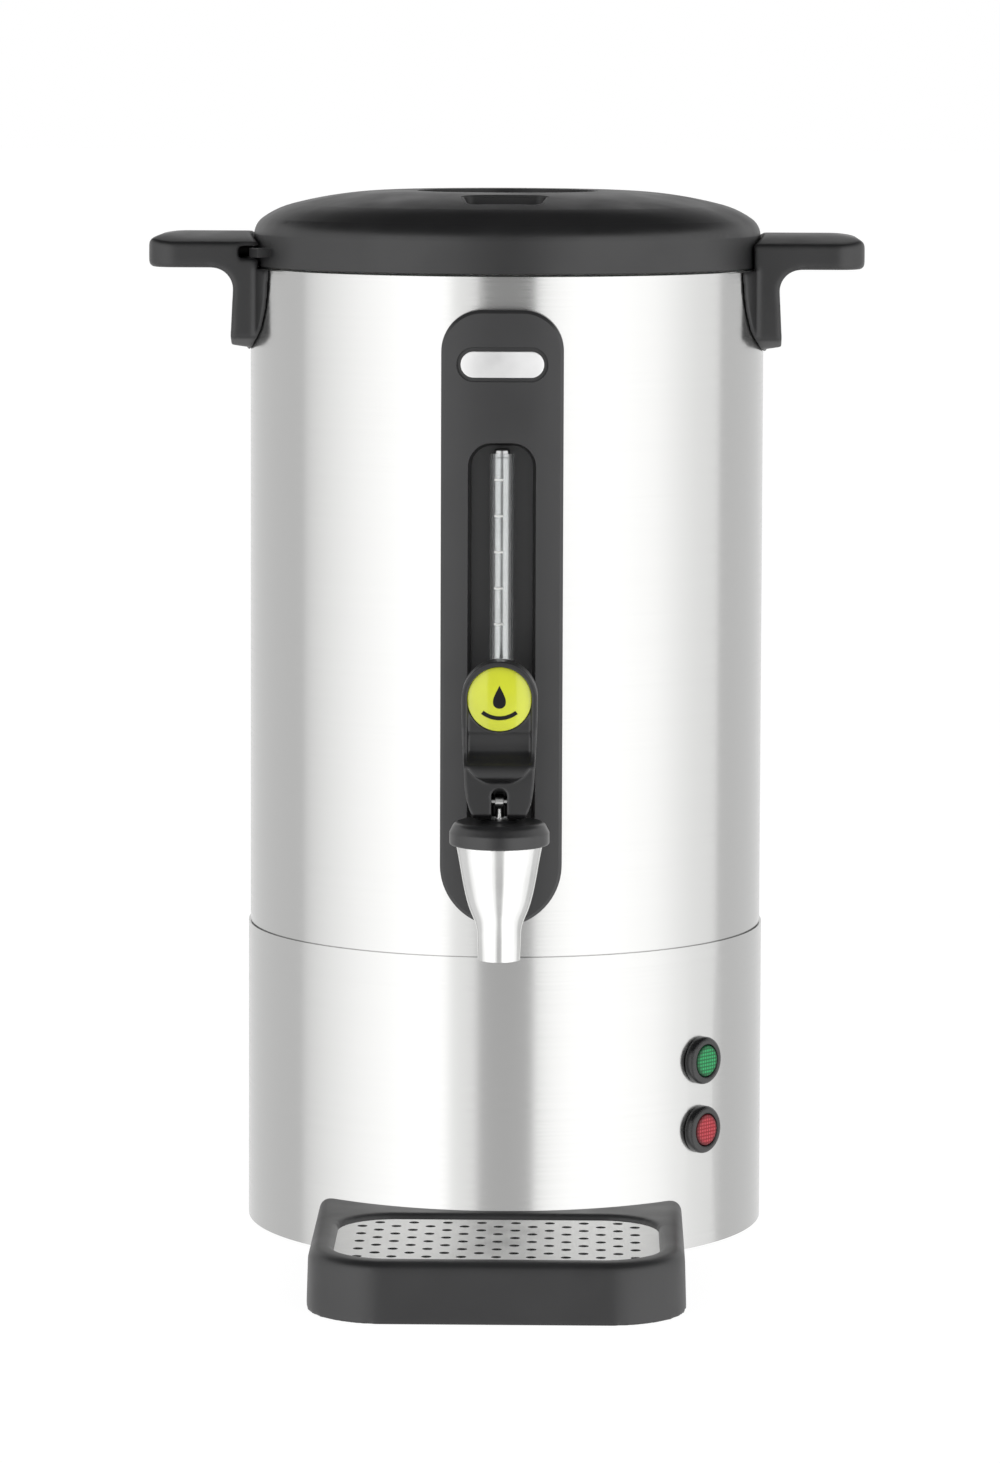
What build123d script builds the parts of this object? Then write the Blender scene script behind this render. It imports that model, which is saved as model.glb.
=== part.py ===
from build123d import *
from math import atan2, cos, radians, sin, sqrt
import os

# Coffee urn (percolator) in millimetres, +Z up. Everything is drawn about the tank's axis, with the
# table at z = 0, the tap towards -Y and the lid's front vent on the tap's side. stand_shift then
# moves each piece back so that the whole urn's footprint is centred on the origin.

# Tank and base
tank_r = 110.2  # outside of the drawn steel tank
tank_wall = 0.8
seam_z = 130.0  # joint between tank and base skirt
floor_z = seam_z + 18.6  # top of the tank's floor
rim_z = floor_z + 263.9  # top of the tank
rim_lip = 10.0  # rim turned inwards, where the lid seals
skirt_r = tank_r + 0.8  # base skirt, a touch wider than the tank
skirt_wall = 0.8
seam_gap = 0.4
skirt_foot = 1.5  # skirt's lower edge above the table
skirt_flange = 14.0  # turned in at the bottom, carries the base plate
joggle = 12.0  # skirt's neck inside the tank's lower edge
base_plate_t = 1.0
base_screw_grip = 4.0
slip = 0.15  # pieces pushed into or beside each other
seat = 0.3  # gap between bodies that move apart
press_gap = 0.05  # between faces that are clamped together

# Feet
foot_r = 11.0
foot_ring_r = skirt_r - 31.0
foot_stem_r = 3.9
foot_count = 4

# Shank through the tank's wall, low above its floor
shank_z = floor_z + 20.9
shank_r = 7.0
shank_bore_r = 4.5
shank_inner_y = -tank_r + 13.2

# Tap: vertical axis in front of the tank
tap_y = -tank_r - 42.8
spout_z = shank_z - 33.5
spout_r = 8.6
spout_flare = 0.35
spout_h = 11.0
spout_bore_r = 5.2
cone_foot_z = spout_z + 19.4
cone_foot_r = 11.45
cone_top_z = shank_z + 13.5
cone_top_r = 17.6
bonnet_z = cone_top_z + 0.3
bonnet_h = 9.4
bonnet_r = 20.35
bonnet_top_r = 18.15
guide_r = 6.5  # boss on the bonnet that the lever's foot bears on
guide_h = 0.8
seat_z = shank_z - 9.0  # valve seat
neck_r = 10.0
stem_r = 1.6
eye_r = 3.2
eye_w = 3.4
pin_z = bonnet_z + 17.5
pin_r = 1.5
pin_l = 25.6
lever_travel = 45.0  # degrees
stem_travel = 3.0
fit = 0.05  # radial clearance of pins and stems
tap_wall = 2.4
chamber_r = 10.0
thread_r = 16.4
thread_h = 5.0
spring_r = 5.0
spring_wire_r = 0.5
spring_turns = 5
spring_low_z = shank_z + 6.5
cup_r = 7.0
cup_top_r = 8.5

# Tee and sight gauge
shank_end_y = tap_y + 13.0
tee_r = 11.0
tee_front_y = -tank_r - 16.2
washer_t = 1.8
nut_af = 24.0
nut_t = 6.0
coupling_r = 15.0
coupling_l = 6.0
neck_end_y = tee_front_y - coupling_l - 0.2
tube_r = 5.1
tube_bore_r = 3.6
tube_y = -tank_r - 7.8
tube_foot_z = shank_z + 9.5
collar_r = 8.0
collar_top_z = shank_z + 19.0
seal_l = 6.0
seal_wall = 0.9
cross_r = 2.5
cap_t = 2.0
cap_plug = 1.5
vent_r = 0.6

# Front panel
panel_w = 50.3
panel_top_z = rim_z - 13.7
panel_face_r = tank_r + 10.3
panel_corner = 17.0
recess_w = 28.6
recess_top_z = panel_top_z - 54.3
recess_floor_y = -tank_r - 1.7
recess_slope = 1.65  # how much the walls draw in towards the floor
recess_corner = 10.0
tube_top_z = recess_top_z - 4.5
badge_l = 34.2
badge_h = 10.7
badge_z = panel_top_z - 22.3
badge_border = 1.7
badge_t = 1.2
panel_bevel = 1.3
panel_screw_r = 2.0
panel_screw_grip = 5.5
panel_screw_z = (panel_top_z - 42.8, panel_top_z - 8.8)

# Lever
lever_bottom_z = pin_z - 6.9
lever_bottom_w = 18.6
ankle_w = 24.8
lip_z = pin_z + 15.2
lip_w = 28.4
waist_w = 30.2
head_r = 15.4
head_z = pin_z + 42.7
lever_slot_w = 6.4
lever_slot_z = pin_z + 6.2
head_front = 10.0  # forward of the tap's axis
disc_r = 13.0
disc_t = 2.0
disc_drop = 1.4  # disc's seat behind the head's rim
dome_h = 1.6
foot_back = 6.5
ankle_front = 9.4
lip_front = 15.5
lip_drop = 7.0  # depth of the lip's bow below its ends
lip_bow_w = 25.2
waist_front = 10.6
waist_back = 5.5
head_back = 3.0
dish_w = 25.8  # thumb dish between the side rims
dish_floor = 7.0

# Lid
lid_r = tank_r - 1.3
lid_skirt_z = rim_z + 0.5
lid_wall = 2.5
lid_top_z = rim_z + 32.7
crown_w = 67.9  # from the grip's well to the lid's edge
well_r = lid_r - crown_w
well_wall = 2.0
well_depth = 15.0
bar_w = 20.0
bar_drop = 5.0
vent_outer_r = lid_r - 23.4
vent_inner_r = vent_outer_r - 24.6
vent_inner_w = 38.6
vent_outer_w = 33.0
vent_depth = 5.0
pan_r = tank_r - 13.2
pan_depth = 7.0
pan_flange = 9.0
pan_t = 0.8
seal_h = 3.5
lug_r = tank_r + 4.3
lug_z = rim_z + 4.8
lug_t = 3.8
lug_half = 3.0  # degrees
lock_turn = 18.0
lug_rest = 21.0  # degrees from a handle's middle to a lug, lid unlocked
vent_corner = 6.0
seal_r = pan_r + 0.4
seal_outer_r = tank_r - 4.6
lid_screw_r = 1.9
screw_grip = 7.0
vent_rim = 1.1
vent_floor_t = 1.5
vent_slot_w = 2.2
steam_hole_r = 4.0
lid_screw_ring_r = well_r + 19.0
lid_boss_r = 4.5

# Handles
handle_tip_x = tank_r + 42.3
handle_half_w = 33.0
handle_top_z = rim_z + 14.9
handle_edge_z = rim_z + 10.6
handle_tip_z = rim_z + 10.0
handle_under_z = rim_z
handle_in_r = tank_r - 0.3
handle_corner = 12.0
handle_fall = 16.4  # length over which the top falls to the tip
handle_round = 2.5
tank_gap = 0.15  # handle and panel backs to the tank wall
leg_top_x = tank_r + 5.9
leg_foot_x = tank_r + 7.1
leg_low_z = rim_z - 33.0
leg_tip_z = rim_z - 36.5
leg_fillet = 9.0
flange_half_w = 47.0
flange_t = 1.2
slot_z = rim_z + 4.1
slot_h = 5.2
slot_r = lug_r + 3.5
handle_screw_z = rim_z - 18.5
handle_screw_turn = 7.5  # degrees either side of the handle's middle
handle_screw_grip = 5.0
screw_r = 2.5

# Drip tray
tray_w = 153.0
tray_front_y = -skirt_r - 109.0
tray_h = 25.0
tray_back_r = skirt_r + 0.7
tray_corner = 32.0
tray_back_corner = 5.0
grid_half_w = tray_w / 2 - 10.5
grid_front_y = tray_front_y + 10.0
grid_back_y = -skirt_r - 12.0
grid_corner = 24.0
grid_drop = 2.5
grid_t = 1.2
grid_ledge = 3.0
hole_r = 2.1
hole_pitch_x = 7.0
hole_pitch_y = 14.8
hole_columns = int(2 * grid_half_w / hole_pitch_x) - 1
hole_rows = int((grid_back_y - grid_front_y) / hole_pitch_y)
sump_floor_z = 4.0
tray_draft = 1.7
tray_round = 4.5

# Pilot lamps
lamp_azimuth = 49.0
lamp_green_z = seam_z - 49.0
lamp_red_z = lamp_green_z - 29.4
lamp_r = 10.0
lamp_flange = 4.0
lamp_body_r = 8.0
lamp_body_l = 24.0
lens_r = 6.9
lamp_nut_r = 11.5
lamp_nut_t = 4.0
lamp_nut_drop = 0.7  # the round wall falls away behind a flat nut
lamp_round = 2.2
lamp_inner_round = 0.8
lens_t = 3.0
lens_round = 1.2

# Rear panel with the power inlet and the rocker switch
rear_w = 62.0
rear_z = 30.0
rear_h = 78.0
rear_face_y = skirt_r + 2.5
rear_corner = 6.0
inlet_z = 52.0
inlet_w = 28.0
inlet_h = 20.4
inlet_flange_w = 49.0
inlet_flange_h = 23.0
inlet_t = 2.0
inlet_l = 24.0
inlet_screw_pitch = 40.0
socket_w = 24.4
socket_h = 16.6
socket_l = 17.0
switch_z = inlet_z + 36.0
switch_w = 21.0
switch_h = 15.0
switch_body_w = 18.8
switch_body_h = 12.8
switch_l = 20.0
rocker_w = 14.6
rocker_h = 10.2
rocker_tilt = 8.0
rocker_pin_r = 1.2
rocker_play = 0.4
rocker_proud = 2.4
rocker_dip = 1.0
switch_cavity = 9.0
rear_t = 3.0
inlet_screw_r = 1.7
blade_t = 2.0
blade_w = 4.0

# Brewing parts in the tank
perc_tube_r = 4.5
perc_wall = 0.6
perc_top_z = rim_z - 12.5
bell_r = 27.0
bell_h = 12.0
basket_r = 68.0
basket_z = rim_z - 90.5
basket_h = 62.0
basket_wall = 0.6
basket_hole_r = 1.4
sleeve_r = 6.4
spreader_t = 0.6
basket_hole_rings = 5
basket_hole_pitch = 10.5
stop_r = 8.5  # collar on the tube that carries the basket
stop_t = 2.0

# Heater under the tank's floor
heater_r = tank_r - 56.2
heater_t = 8.0
element_ring_r = heater_r - 12.0
element_r = 3.6
keep_ring_r = heater_r - 30.0
keep_r = 3.0
element_gap = 30.0  # degrees left open between an element's ends
cold_pin_l = 16.0
stat_r = 8.5
stat_h = 9.0
stat_ring_r = heater_r + 24.0
stat_azimuth = 215.0
cutout_azimuth = 260.0
strap_l = 40.0
strap_t = 1.0
block_w = 34.0
block_d = 18.0
block_h = 14.0
block_y = skirt_r - 49.0
wire_r = 1.3
tab_y = 4.5
tab_w = 6.3
tab_l = 8.0

os.makedirs("parts", exist_ok=True)

tilt = radians(rocker_tilt)
rocker_y = rear_face_y + 0.8
rocker_half = rocker_h / 2 - rocker_play
rear_reach = rocker_y + rocker_proud * cos(tilt) + rocker_half * sin(tilt)
stand_shift = Location((0, -(tray_front_y + rear_reach) / 2, 0))
tap_side = Plane(origin=(0, tap_y, 0), x_dir=(1, 0, 0), z_dir=(0, -1, 0))
tap_axis = Axis((0, tap_y, 0), (0, 0, 1))
floor_under_z = floor_z - tank_wall
screw_drop = tank_wall + 0.2
plate_z = skirt_foot + skirt_wall
bonnet_top_z = bonnet_z + bonnet_h
guide_top_z = bonnet_top_z + guide_h
bonnet_ceiling_z = cone_top_z + thread_h + seat


def on_wall(azimuth, height, radius=skirt_r):
    """Plane tangent to the wall, facing outwards; azimuth 0 is the front, 90 is +X, 180 the back."""
    out_x, out_y = sin(radians(azimuth)), -cos(radians(azimuth))
    return Plane(origin=(radius * out_x, radius * out_y, height), x_dir=(-out_y, out_x, 0),
                 z_dir=(out_x, out_y, 0))


def on_front(y):
    """Plane facing forwards at the given y, with x to the right and local y up."""
    return Plane(origin=(0, y, 0), x_dir=(1, 0, 0), z_dir=(0, -1, 0))


def wall_ring(inner, outer, low, high):
    """Round ring about the tank's axis, for trimming pieces to the body's curve."""
    with BuildPart() as ring:
        with BuildSketch(Plane.XY.offset(low)):
            Circle(outer)
            Circle(inner, mode=Mode.SUBTRACT)
        extrude(amount=high - low)
    return ring.part


def sector(inner, outer, low, high, start, end):
    """Part of a ring between two azimuths in degrees, counted anticlockwise from +X."""
    with BuildPart() as piece:
        with BuildSketch(Plane.XY.offset(low)):
            Circle(outer)
            Circle(inner, mode=Mode.SUBTRACT)
            with BuildLine():
                wide = 2 * outer
                first = Line((0, 0), (wide * cos(radians(start)), wide * sin(radians(start))))
                last = Line((0, 0), (wide * cos(radians(end)), wide * sin(radians(end))))
                Line(first @ 1, last @ 1)
            make_face(mode=Mode.INTERSECT)
        extrude(amount=high - low)
    return piece.part


def bolt(places, radius, grip, head_r, head_t):
    """Pan-head screws whose heads lie inwards of each place and whose threads run outwards."""
    with BuildPart() as screws:
        with Locations(*places):
            Cylinder(radius, grip, align=(Align.CENTER, Align.CENTER, Align.MIN))
        with Locations(*places):
            Cylinder(head_r, head_t, align=(Align.CENTER, Align.CENTER, Align.MAX))
    return screws.part


# ---------------------------------------------------------------- tank and base
handle_screw_places = [on_wall(side + turn, handle_screw_z, tank_r)
                       for side in (90, -90) for turn in (-handle_screw_turn, handle_screw_turn)]
panel_screw_places = [on_wall(0, height, tank_r) for height in panel_screw_z]

with BuildPart() as tank:
    with BuildSketch(Plane.XZ):
        with BuildLine():
            Polyline((tank_r, seam_z + seam_gap), (tank_r, rim_z), (tank_r - rim_lip, rim_z),
                     (tank_r - rim_lip, rim_z - tank_wall), (tank_r - tank_wall, rim_z - tank_wall),
                     (tank_r - tank_wall, floor_z), (0, floor_z), (0, floor_under_z),
                     (tank_r - tank_wall, floor_under_z), (tank_r - tank_wall, seam_z + seam_gap),
                     close=True)
        make_face()
    revolve(axis=Axis.Z)
    fillet(tank.edges().filter_by(GeomType.CIRCLE).group_by(Axis.Z)[-1].sort_by(SortBy.RADIUS)[-1], 0.7)
    with Locations(on_wall(0, shank_z, tank_r)):
        Hole(shank_r + slip, 30)
    with Locations(*handle_screw_places, *panel_screw_places):
        Hole(screw_r + slip, 20)
tank.part.label = "tank"
export_step(tank.part.moved(stand_shift), "parts/tank.step")

neck_outer = tank_r - tank_wall - slip
rear_cut_w = rear_w - 8
base_screw_ring_r = skirt_r - skirt_flange / 2
with BuildPart() as base_skirt:
    with BuildSketch(Plane.XZ):
        with BuildLine():
            Polyline((skirt_r, skirt_foot), (skirt_r, seam_z), (neck_outer, seam_z),
                     (neck_outer, seam_z + joggle), (neck_outer - skirt_wall, seam_z + joggle),
                     (neck_outer - skirt_wall, seam_z - skirt_wall),
                     (skirt_r - skirt_wall, seam_z - skirt_wall), (skirt_r - skirt_wall, plate_z),
                     (skirt_r - skirt_flange, plate_z), (skirt_r - skirt_flange, skirt_foot), close=True)
        make_face()
    revolve(axis=Axis.Z)
    with Locations(on_wall(lamp_azimuth, lamp_green_z), on_wall(lamp_azimuth, lamp_red_z)):
        Hole(lamp_body_r + slip, 20)
    with BuildSketch(on_wall(180, rear_z + rear_h / 2)):
        Rectangle(rear_cut_w, rear_h - 8)
    extrude(amount=-20, both=True, mode=Mode.SUBTRACT)
    with BuildSketch(Plane.XY):
        with PolarLocations(base_screw_ring_r, foot_count):
            Circle(screw_r + slip)
    extrude(amount=plate_z, mode=Mode.SUBTRACT)
base_skirt.part.label = "base_skirt"
export_step(base_skirt.part.moved(stand_shift), "parts/base_skirt.step")

with BuildPart() as base_plate:
    with BuildSketch(Plane.XY.offset(plate_z)):
        Circle(skirt_r - skirt_wall - 2 * slip)
        with PolarLocations(foot_ring_r, foot_count, 45):
            Circle(foot_stem_r + slip, mode=Mode.SUBTRACT)
        with PolarLocations(base_screw_ring_r, foot_count):
            Circle(screw_r + slip, mode=Mode.SUBTRACT)
        with PolarLocations(40, 12):
            SlotOverall(18, 4, mode=Mode.SUBTRACT)
    extrude(amount=base_plate_t)
base_plate.part.label = "base_plate"
export_step(base_plate.part.moved(stand_shift), "parts/base_plate.step")

with BuildPart() as feet:
    with BuildSketch(Plane.XY):
        with PolarLocations(foot_ring_r, foot_count, 45):
            Circle(foot_r)
    extrude(amount=plate_z, taper=8)
    with BuildSketch(Plane.XY.offset(plate_z)):
        with PolarLocations(foot_ring_r, foot_count, 45):
            Circle(foot_stem_r)
    extrude(amount=base_plate_t)
    with BuildSketch(Plane.XY.offset(plate_z + base_plate_t)):
        with PolarLocations(foot_ring_r, foot_count, 45):
            Circle(foot_stem_r + 1.2)
    extrude(amount=3, taper=20)
feet.part.label = "feet"
export_step(feet.part.moved(stand_shift), "parts/feet.step")

base_screw_places = [Pos(0, 0, skirt_foot) * place for place in
                     PolarLocations(base_screw_ring_r, foot_count).locations]
base_screws = bolt(base_screw_places, screw_r - fit, skirt_wall + base_plate_t + base_screw_grip,
                   screw_r * 1.8, skirt_foot - seat)
base_screws.label = "base_screws"
export_step(base_screws.moved(stand_shift), "parts/base_screws.step")

# ---------------------------------------------------------------- heater
heater_low_z = floor_under_z - heater_t
with BuildPart() as heater_block:
    with BuildSketch(Plane.XY.offset(heater_low_z)):
        Circle(heater_r)
    extrude(amount=heater_t)
    with BuildSketch(Plane.XZ):
        with Locations((element_ring_r, heater_low_z), (keep_ring_r, heater_low_z)):
            Circle(element_r + fit)
    revolve(axis=Axis.Z, mode=Mode.SUBTRACT)
heater_block.part.label = "heater_block"
export_step(heater_block.part.moved(stand_shift), "parts/heater_block.step")


def ring_element(ring_radius, tube_radius):
    """Sheathed element: an open ring whose two cold pins point down."""
    with BuildPart() as element:
        with BuildSketch(Plane.XZ):
            with Locations((ring_radius, heater_low_z)):
                Circle(tube_radius)
        revolve(axis=Axis.Z, revolution_arc=360 - element_gap)
        with BuildSketch(Plane.XY.offset(heater_low_z - cold_pin_l)):
            with Locations((ring_radius, 0), Rot(0, 0, -element_gap) * Pos(ring_radius, 0, 0)):
                Circle(tube_radius)
        extrude(amount=cold_pin_l)
        with BuildSketch(Plane.XY.offset(heater_low_z - cold_pin_l - 6)):
            with Locations((ring_radius, 0), Rot(0, 0, -element_gap) * Pos(ring_radius, 0, 0)):
                Circle(tube_radius / 2)
        extrude(amount=6)
    return element.part


heater_element = ring_element(element_ring_r, element_r)
heater_element.label = "heater_element"
export_step(heater_element.moved(stand_shift), "parts/heater_element.step")

keep_warm_element = ring_element(keep_ring_r, keep_r)
keep_warm_element.label = "keep_warm_element"
export_step(keep_warm_element.moved(stand_shift), "parts/keep_warm_element.step")


# Disc thermostat and thermal cut-out, each pressed to the tank's floor by a strap
sensors = {"thermostat": stat_azimuth, "thermal_cutout": cutout_azimuth}
for sensor_name, azimuth in sensors.items():
    sensor_place = Rot(0, 0, azimuth) * Pos(stat_ring_r, 0, 0)
    with BuildPart() as sensor:
        with BuildSketch(Plane.XY.offset(floor_under_z)):
            with Locations(sensor_place):
                Circle(stat_r)
        extrude(amount=-stat_h)
        with BuildSketch(Plane.XY.offset(floor_under_z - stat_h)):
            with Locations(sensor_place * Pos(0, -tab_y, 0), sensor_place * Pos(0, tab_y, 0)):
                Rectangle(tab_w, strap_t)
        extrude(amount=-tab_l)
    sensor.part.label = sensor_name
    export_step(sensor.part.moved(stand_shift), f"parts/{sensor_name}.step")

with BuildPart() as sensor_straps:
    for azimuth in sensors.values():
        strap_place = Rot(0, 0, azimuth) * Pos(stat_ring_r, 0, 0)
        with BuildSketch(Plane.XY.offset(floor_under_z - stat_h)):
            with Locations(strap_place):
                Rectangle(strap_l, 2 * tab_y - strap_t - 1)
        extrude(amount=-strap_t)
        with BuildSketch(Plane.XY.offset(floor_under_z)):
            with Locations(strap_place * Pos(-strap_l / 2, 0, 0), strap_place * Pos(strap_l / 2, 0, 0)):
                Rectangle(strap_t * 2, 2 * tab_y - strap_t - 1)
        extrude(amount=-stat_h - strap_t)
sensor_straps.part.label = "sensor_straps"
export_step(sensor_straps.part.moved(stand_shift), "parts/sensor_straps.step")

plate_top_z = plate_z + base_plate_t
with BuildPart() as terminal_block:
    with BuildSketch(Plane.XY.offset(plate_top_z)):
        with Locations((0, block_y)):
            Rectangle(block_w, block_d)
    extrude(amount=block_h)
    with BuildSketch(Plane.XY.offset(plate_top_z + block_h)):
        with Locations((0, block_y)):
            with GridLocations(block_w / 3, block_d / 2, 3, 2):
                Circle(2.4)
    extrude(amount=-5, mode=Mode.SUBTRACT)
terminal_block.part.label = "terminal_block"
export_step(terminal_block.part.moved(stand_shift), "parts/terminal_block.step")

# ---------------------------------------------------------------- brewing parts
with BuildPart() as percolator_tube:
    with BuildSketch(Plane.XZ):
        with BuildLine():
            Polyline((perc_tube_r - perc_wall, perc_top_z), (perc_tube_r, perc_top_z),
                     (perc_tube_r, basket_z), (stop_r, basket_z), (stop_r, basket_z - stop_t),
                     (perc_tube_r, basket_z - stop_t), (perc_tube_r, floor_z + bell_h),
                     (bell_r, floor_z + 3), (bell_r, floor_z), (bell_r - 1, floor_z),
                     (bell_r - 1, floor_z + 2.4), (perc_tube_r - perc_wall, floor_z + bell_h - 1),
                     close=True)
        make_face()
    revolve(axis=Axis.Z)
    with BuildSketch(Plane.XY.offset(floor_z)):
        with PolarLocations(bell_r, 6):
            Rectangle(6, 5)
    extrude(amount=1.2, mode=Mode.SUBTRACT)
percolator_tube.part.label = "percolator_tube"
export_step(percolator_tube.part.moved(stand_shift), "parts/percolator_tube.step")

with BuildPart() as filter_basket:
    with BuildSketch(Plane.XZ):
        with BuildLine():
            Polyline((sleeve_r - basket_wall - slip, basket_z), (basket_r, basket_z),
                     (basket_r, basket_z + basket_h), (basket_r - basket_wall, basket_z + basket_h),
                     (basket_r - basket_wall, basket_z + basket_wall), (sleeve_r, basket_z + basket_wall),
                     (sleeve_r, basket_z + basket_h - 8), (sleeve_r - basket_wall, basket_z + basket_h - 8),
                     (sleeve_r - basket_wall, basket_z + basket_wall), close=True)
        make_face()
    revolve(axis=Axis.Z)
    with BuildSketch(Plane.XY.offset(basket_z - 1)):
        for ring in range(1, basket_hole_rings + 1):
            with PolarLocations(sleeve_r + ring * basket_hole_pitch, 6 * ring + 3):
                Circle(basket_hole_r)
    extrude(amount=basket_wall + 2, mode=Mode.SUBTRACT)
filter_basket.part.label = "filter_basket"
export_step(filter_basket.part.moved(stand_shift), "parts/filter_basket.step")

basket_top_z = basket_z + basket_h
with BuildPart() as spreader_lid:
    with BuildSketch(Plane.XY.offset(basket_top_z)):
        Circle(basket_r + 3)
        Circle(sleeve_r + 1, mode=Mode.SUBTRACT)
        for ring in range(1, basket_hole_rings + 1):
            with PolarLocations(sleeve_r + ring * basket_hole_pitch, 6 * ring):
                Circle(basket_hole_r, mode=Mode.SUBTRACT)
    extrude(amount=spreader_t)
    with BuildSketch(Plane.XY.offset(basket_top_z)):
        Circle(basket_r + 3)
        Circle(basket_r + 3 - spreader_t, mode=Mode.SUBTRACT)
    extrude(amount=spreader_t + 4)
    with BuildSketch(Plane.XY.offset(basket_top_z + spreader_t)):
        SlotArc(CenterArc((0, 0), sleeve_r + 5, 0, 180), 1.2)
    extrude(amount=8)
spreader_lid.part.label = "spreader_lid"
export_step(spreader_lid.part.moved(stand_shift), "parts/spreader_lid.step")

# ---------------------------------------------------------------- shank, tee and gauge
with BuildPart() as tap_shank:
    with BuildSketch(on_front(shank_inner_y)):
        with Locations((0, shank_z)):
            Circle(shank_r)
            Circle(shank_bore_r, mode=Mode.SUBTRACT)
    extrude(amount=shank_inner_y - shank_end_y)
    with Locations((0, tube_y, shank_z)):
        Cylinder(cross_r, 2 * shank_r + 2, align=(Align.CENTER, Align.CENTER, Align.MIN), mode=Mode.SUBTRACT)
tap_shank.part.label = "tap_shank"
export_step(tap_shank.part.moved(stand_shift), "parts/tap_shank.step")

tee_back_y = -tank_r - washer_t
with BuildPart() as gauge_tee:
    with BuildSketch(on_front(tee_back_y)):
        with Locations((0, shank_z)):
            Circle(tee_r)
    extrude(amount=tee_back_y - tee_front_y)
    with BuildSketch(Plane((0, tube_y, shank_z))):
        Circle(collar_r)
    extrude(amount=collar_top_z - shank_z)
    split(bisect_by=on_front(recess_floor_y - slip), keep=Keep.TOP)
    with BuildSketch(on_front(tee_back_y + 1)):
        with Locations((0, shank_z)):
            Circle(shank_r + fit)
    extrude(amount=tee_back_y - tee_front_y + 2, mode=Mode.SUBTRACT)
    with BuildSketch(Plane((0, tube_y, collar_top_z))):
        Circle(tube_r + seal_wall)
    extrude(amount=tube_foot_z - collar_top_z, mode=Mode.SUBTRACT)
    with BuildSketch(Plane((0, tube_y, tube_foot_z))):
        Circle(cross_r)
    extrude(amount=shank_z - tube_foot_z, mode=Mode.SUBTRACT)
gauge_tee.part.label = "gauge_tee"
export_step(gauge_tee.part.moved(stand_shift), "parts/gauge_tee.step")

with BuildPart() as outer_washer:
    with BuildSketch(on_front(-tank_r + 2)):
        with Locations((0, shank_z)):
            Circle(tee_r)
            Circle(shank_r + fit, mode=Mode.SUBTRACT)
    extrude(amount=washer_t + 2)
    add(wall_ring(tank_r + press_gap, tank_r + tee_r, shank_z - tee_r, shank_z + tee_r), mode=Mode.INTERSECT)
outer_washer.part.label = "outer_washer"
export_step(outer_washer.part.moved(stand_shift), "parts/outer_washer.step")

inner_wall_r = tank_r - tank_wall
inner_washer_y = -inner_wall_r + washer_t
with BuildPart() as inner_washer:
    with BuildSketch(on_front(inner_washer_y)):
        with Locations((0, shank_z)):
            Circle(tee_r)
            Circle(shank_r + fit, mode=Mode.SUBTRACT)
    extrude(amount=washer_t + 2)
    with Locations((0, 0, shank_z)):
        Cylinder(inner_wall_r - press_gap, 60, mode=Mode.INTERSECT)
inner_washer.part.label = "inner_washer"
export_step(inner_washer.part.moved(stand_shift), "parts/inner_washer.step")

with BuildPart() as shank_nut:
    with BuildSketch(on_front(inner_washer_y)):
        with Locations((0, shank_z)):
            RegularPolygon(nut_af / 2, 6, major_radius=False)
            Circle(shank_r + fit, mode=Mode.SUBTRACT)
    extrude(amount=-nut_t)
shank_nut.part.label = "shank_nut"
export_step(shank_nut.part.moved(stand_shift), "parts/shank_nut.step")

with BuildPart() as coupling_nut:
    with BuildSketch(on_front(tee_front_y)):
        with Locations((0, shank_z)):
            Circle(coupling_r)
            Circle(shank_r + fit, mode=Mode.SUBTRACT)
            with PolarLocations(coupling_r + 0.6, 24):
                Circle(1.2, mode=Mode.SUBTRACT)
    extrude(amount=coupling_l)
    chamfer(coupling_nut.faces().sort_by(Axis.Y)[0].outer_wire().edges().filter_by(GeomType.CIRCLE), 0.4)
coupling_nut.part.label = "coupling_nut"
export_step(coupling_nut.part.moved(stand_shift), "parts/coupling_nut.step")

with BuildPart() as gauge_tube:
    with BuildSketch(Plane((0, tube_y, tube_foot_z))):
        Circle(tube_r)
        Circle(tube_bore_r, mode=Mode.SUBTRACT)
    extrude(amount=tube_top_z - tube_foot_z)
gauge_tube.part.label = "gauge_tube"
export_step(gauge_tube.part.moved(stand_shift), "parts/gauge_tube.step")

with BuildPart() as gauge_seal:
    with BuildSketch(Plane((0, tube_y, collar_top_z - seal_l))):
        Circle(tube_r + seal_wall)
        Circle(tube_r, mode=Mode.SUBTRACT)
    extrude(amount=seal_l)
gauge_seal.part.label = "gauge_seal"
export_step(gauge_seal.part.moved(stand_shift), "parts/gauge_seal.step")

with BuildPart() as gauge_cap:
    with BuildSketch(Plane((0, tube_y, tube_top_z))):
        Circle(tube_r)
    extrude(amount=cap_t)
    with BuildSketch(Plane((0, tube_y, tube_top_z))):
        Circle(tube_bore_r)
    extrude(amount=-cap_plug)
    with BuildSketch(Plane((0, tube_y, tube_top_z + cap_t))):
        Circle(vent_r)
    extrude(amount=-cap_plug - cap_t, mode=Mode.SUBTRACT)
gauge_cap.part.label = "gauge_cap"
export_step(gauge_cap.part.moved(stand_shift), "parts/gauge_cap.step")

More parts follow.
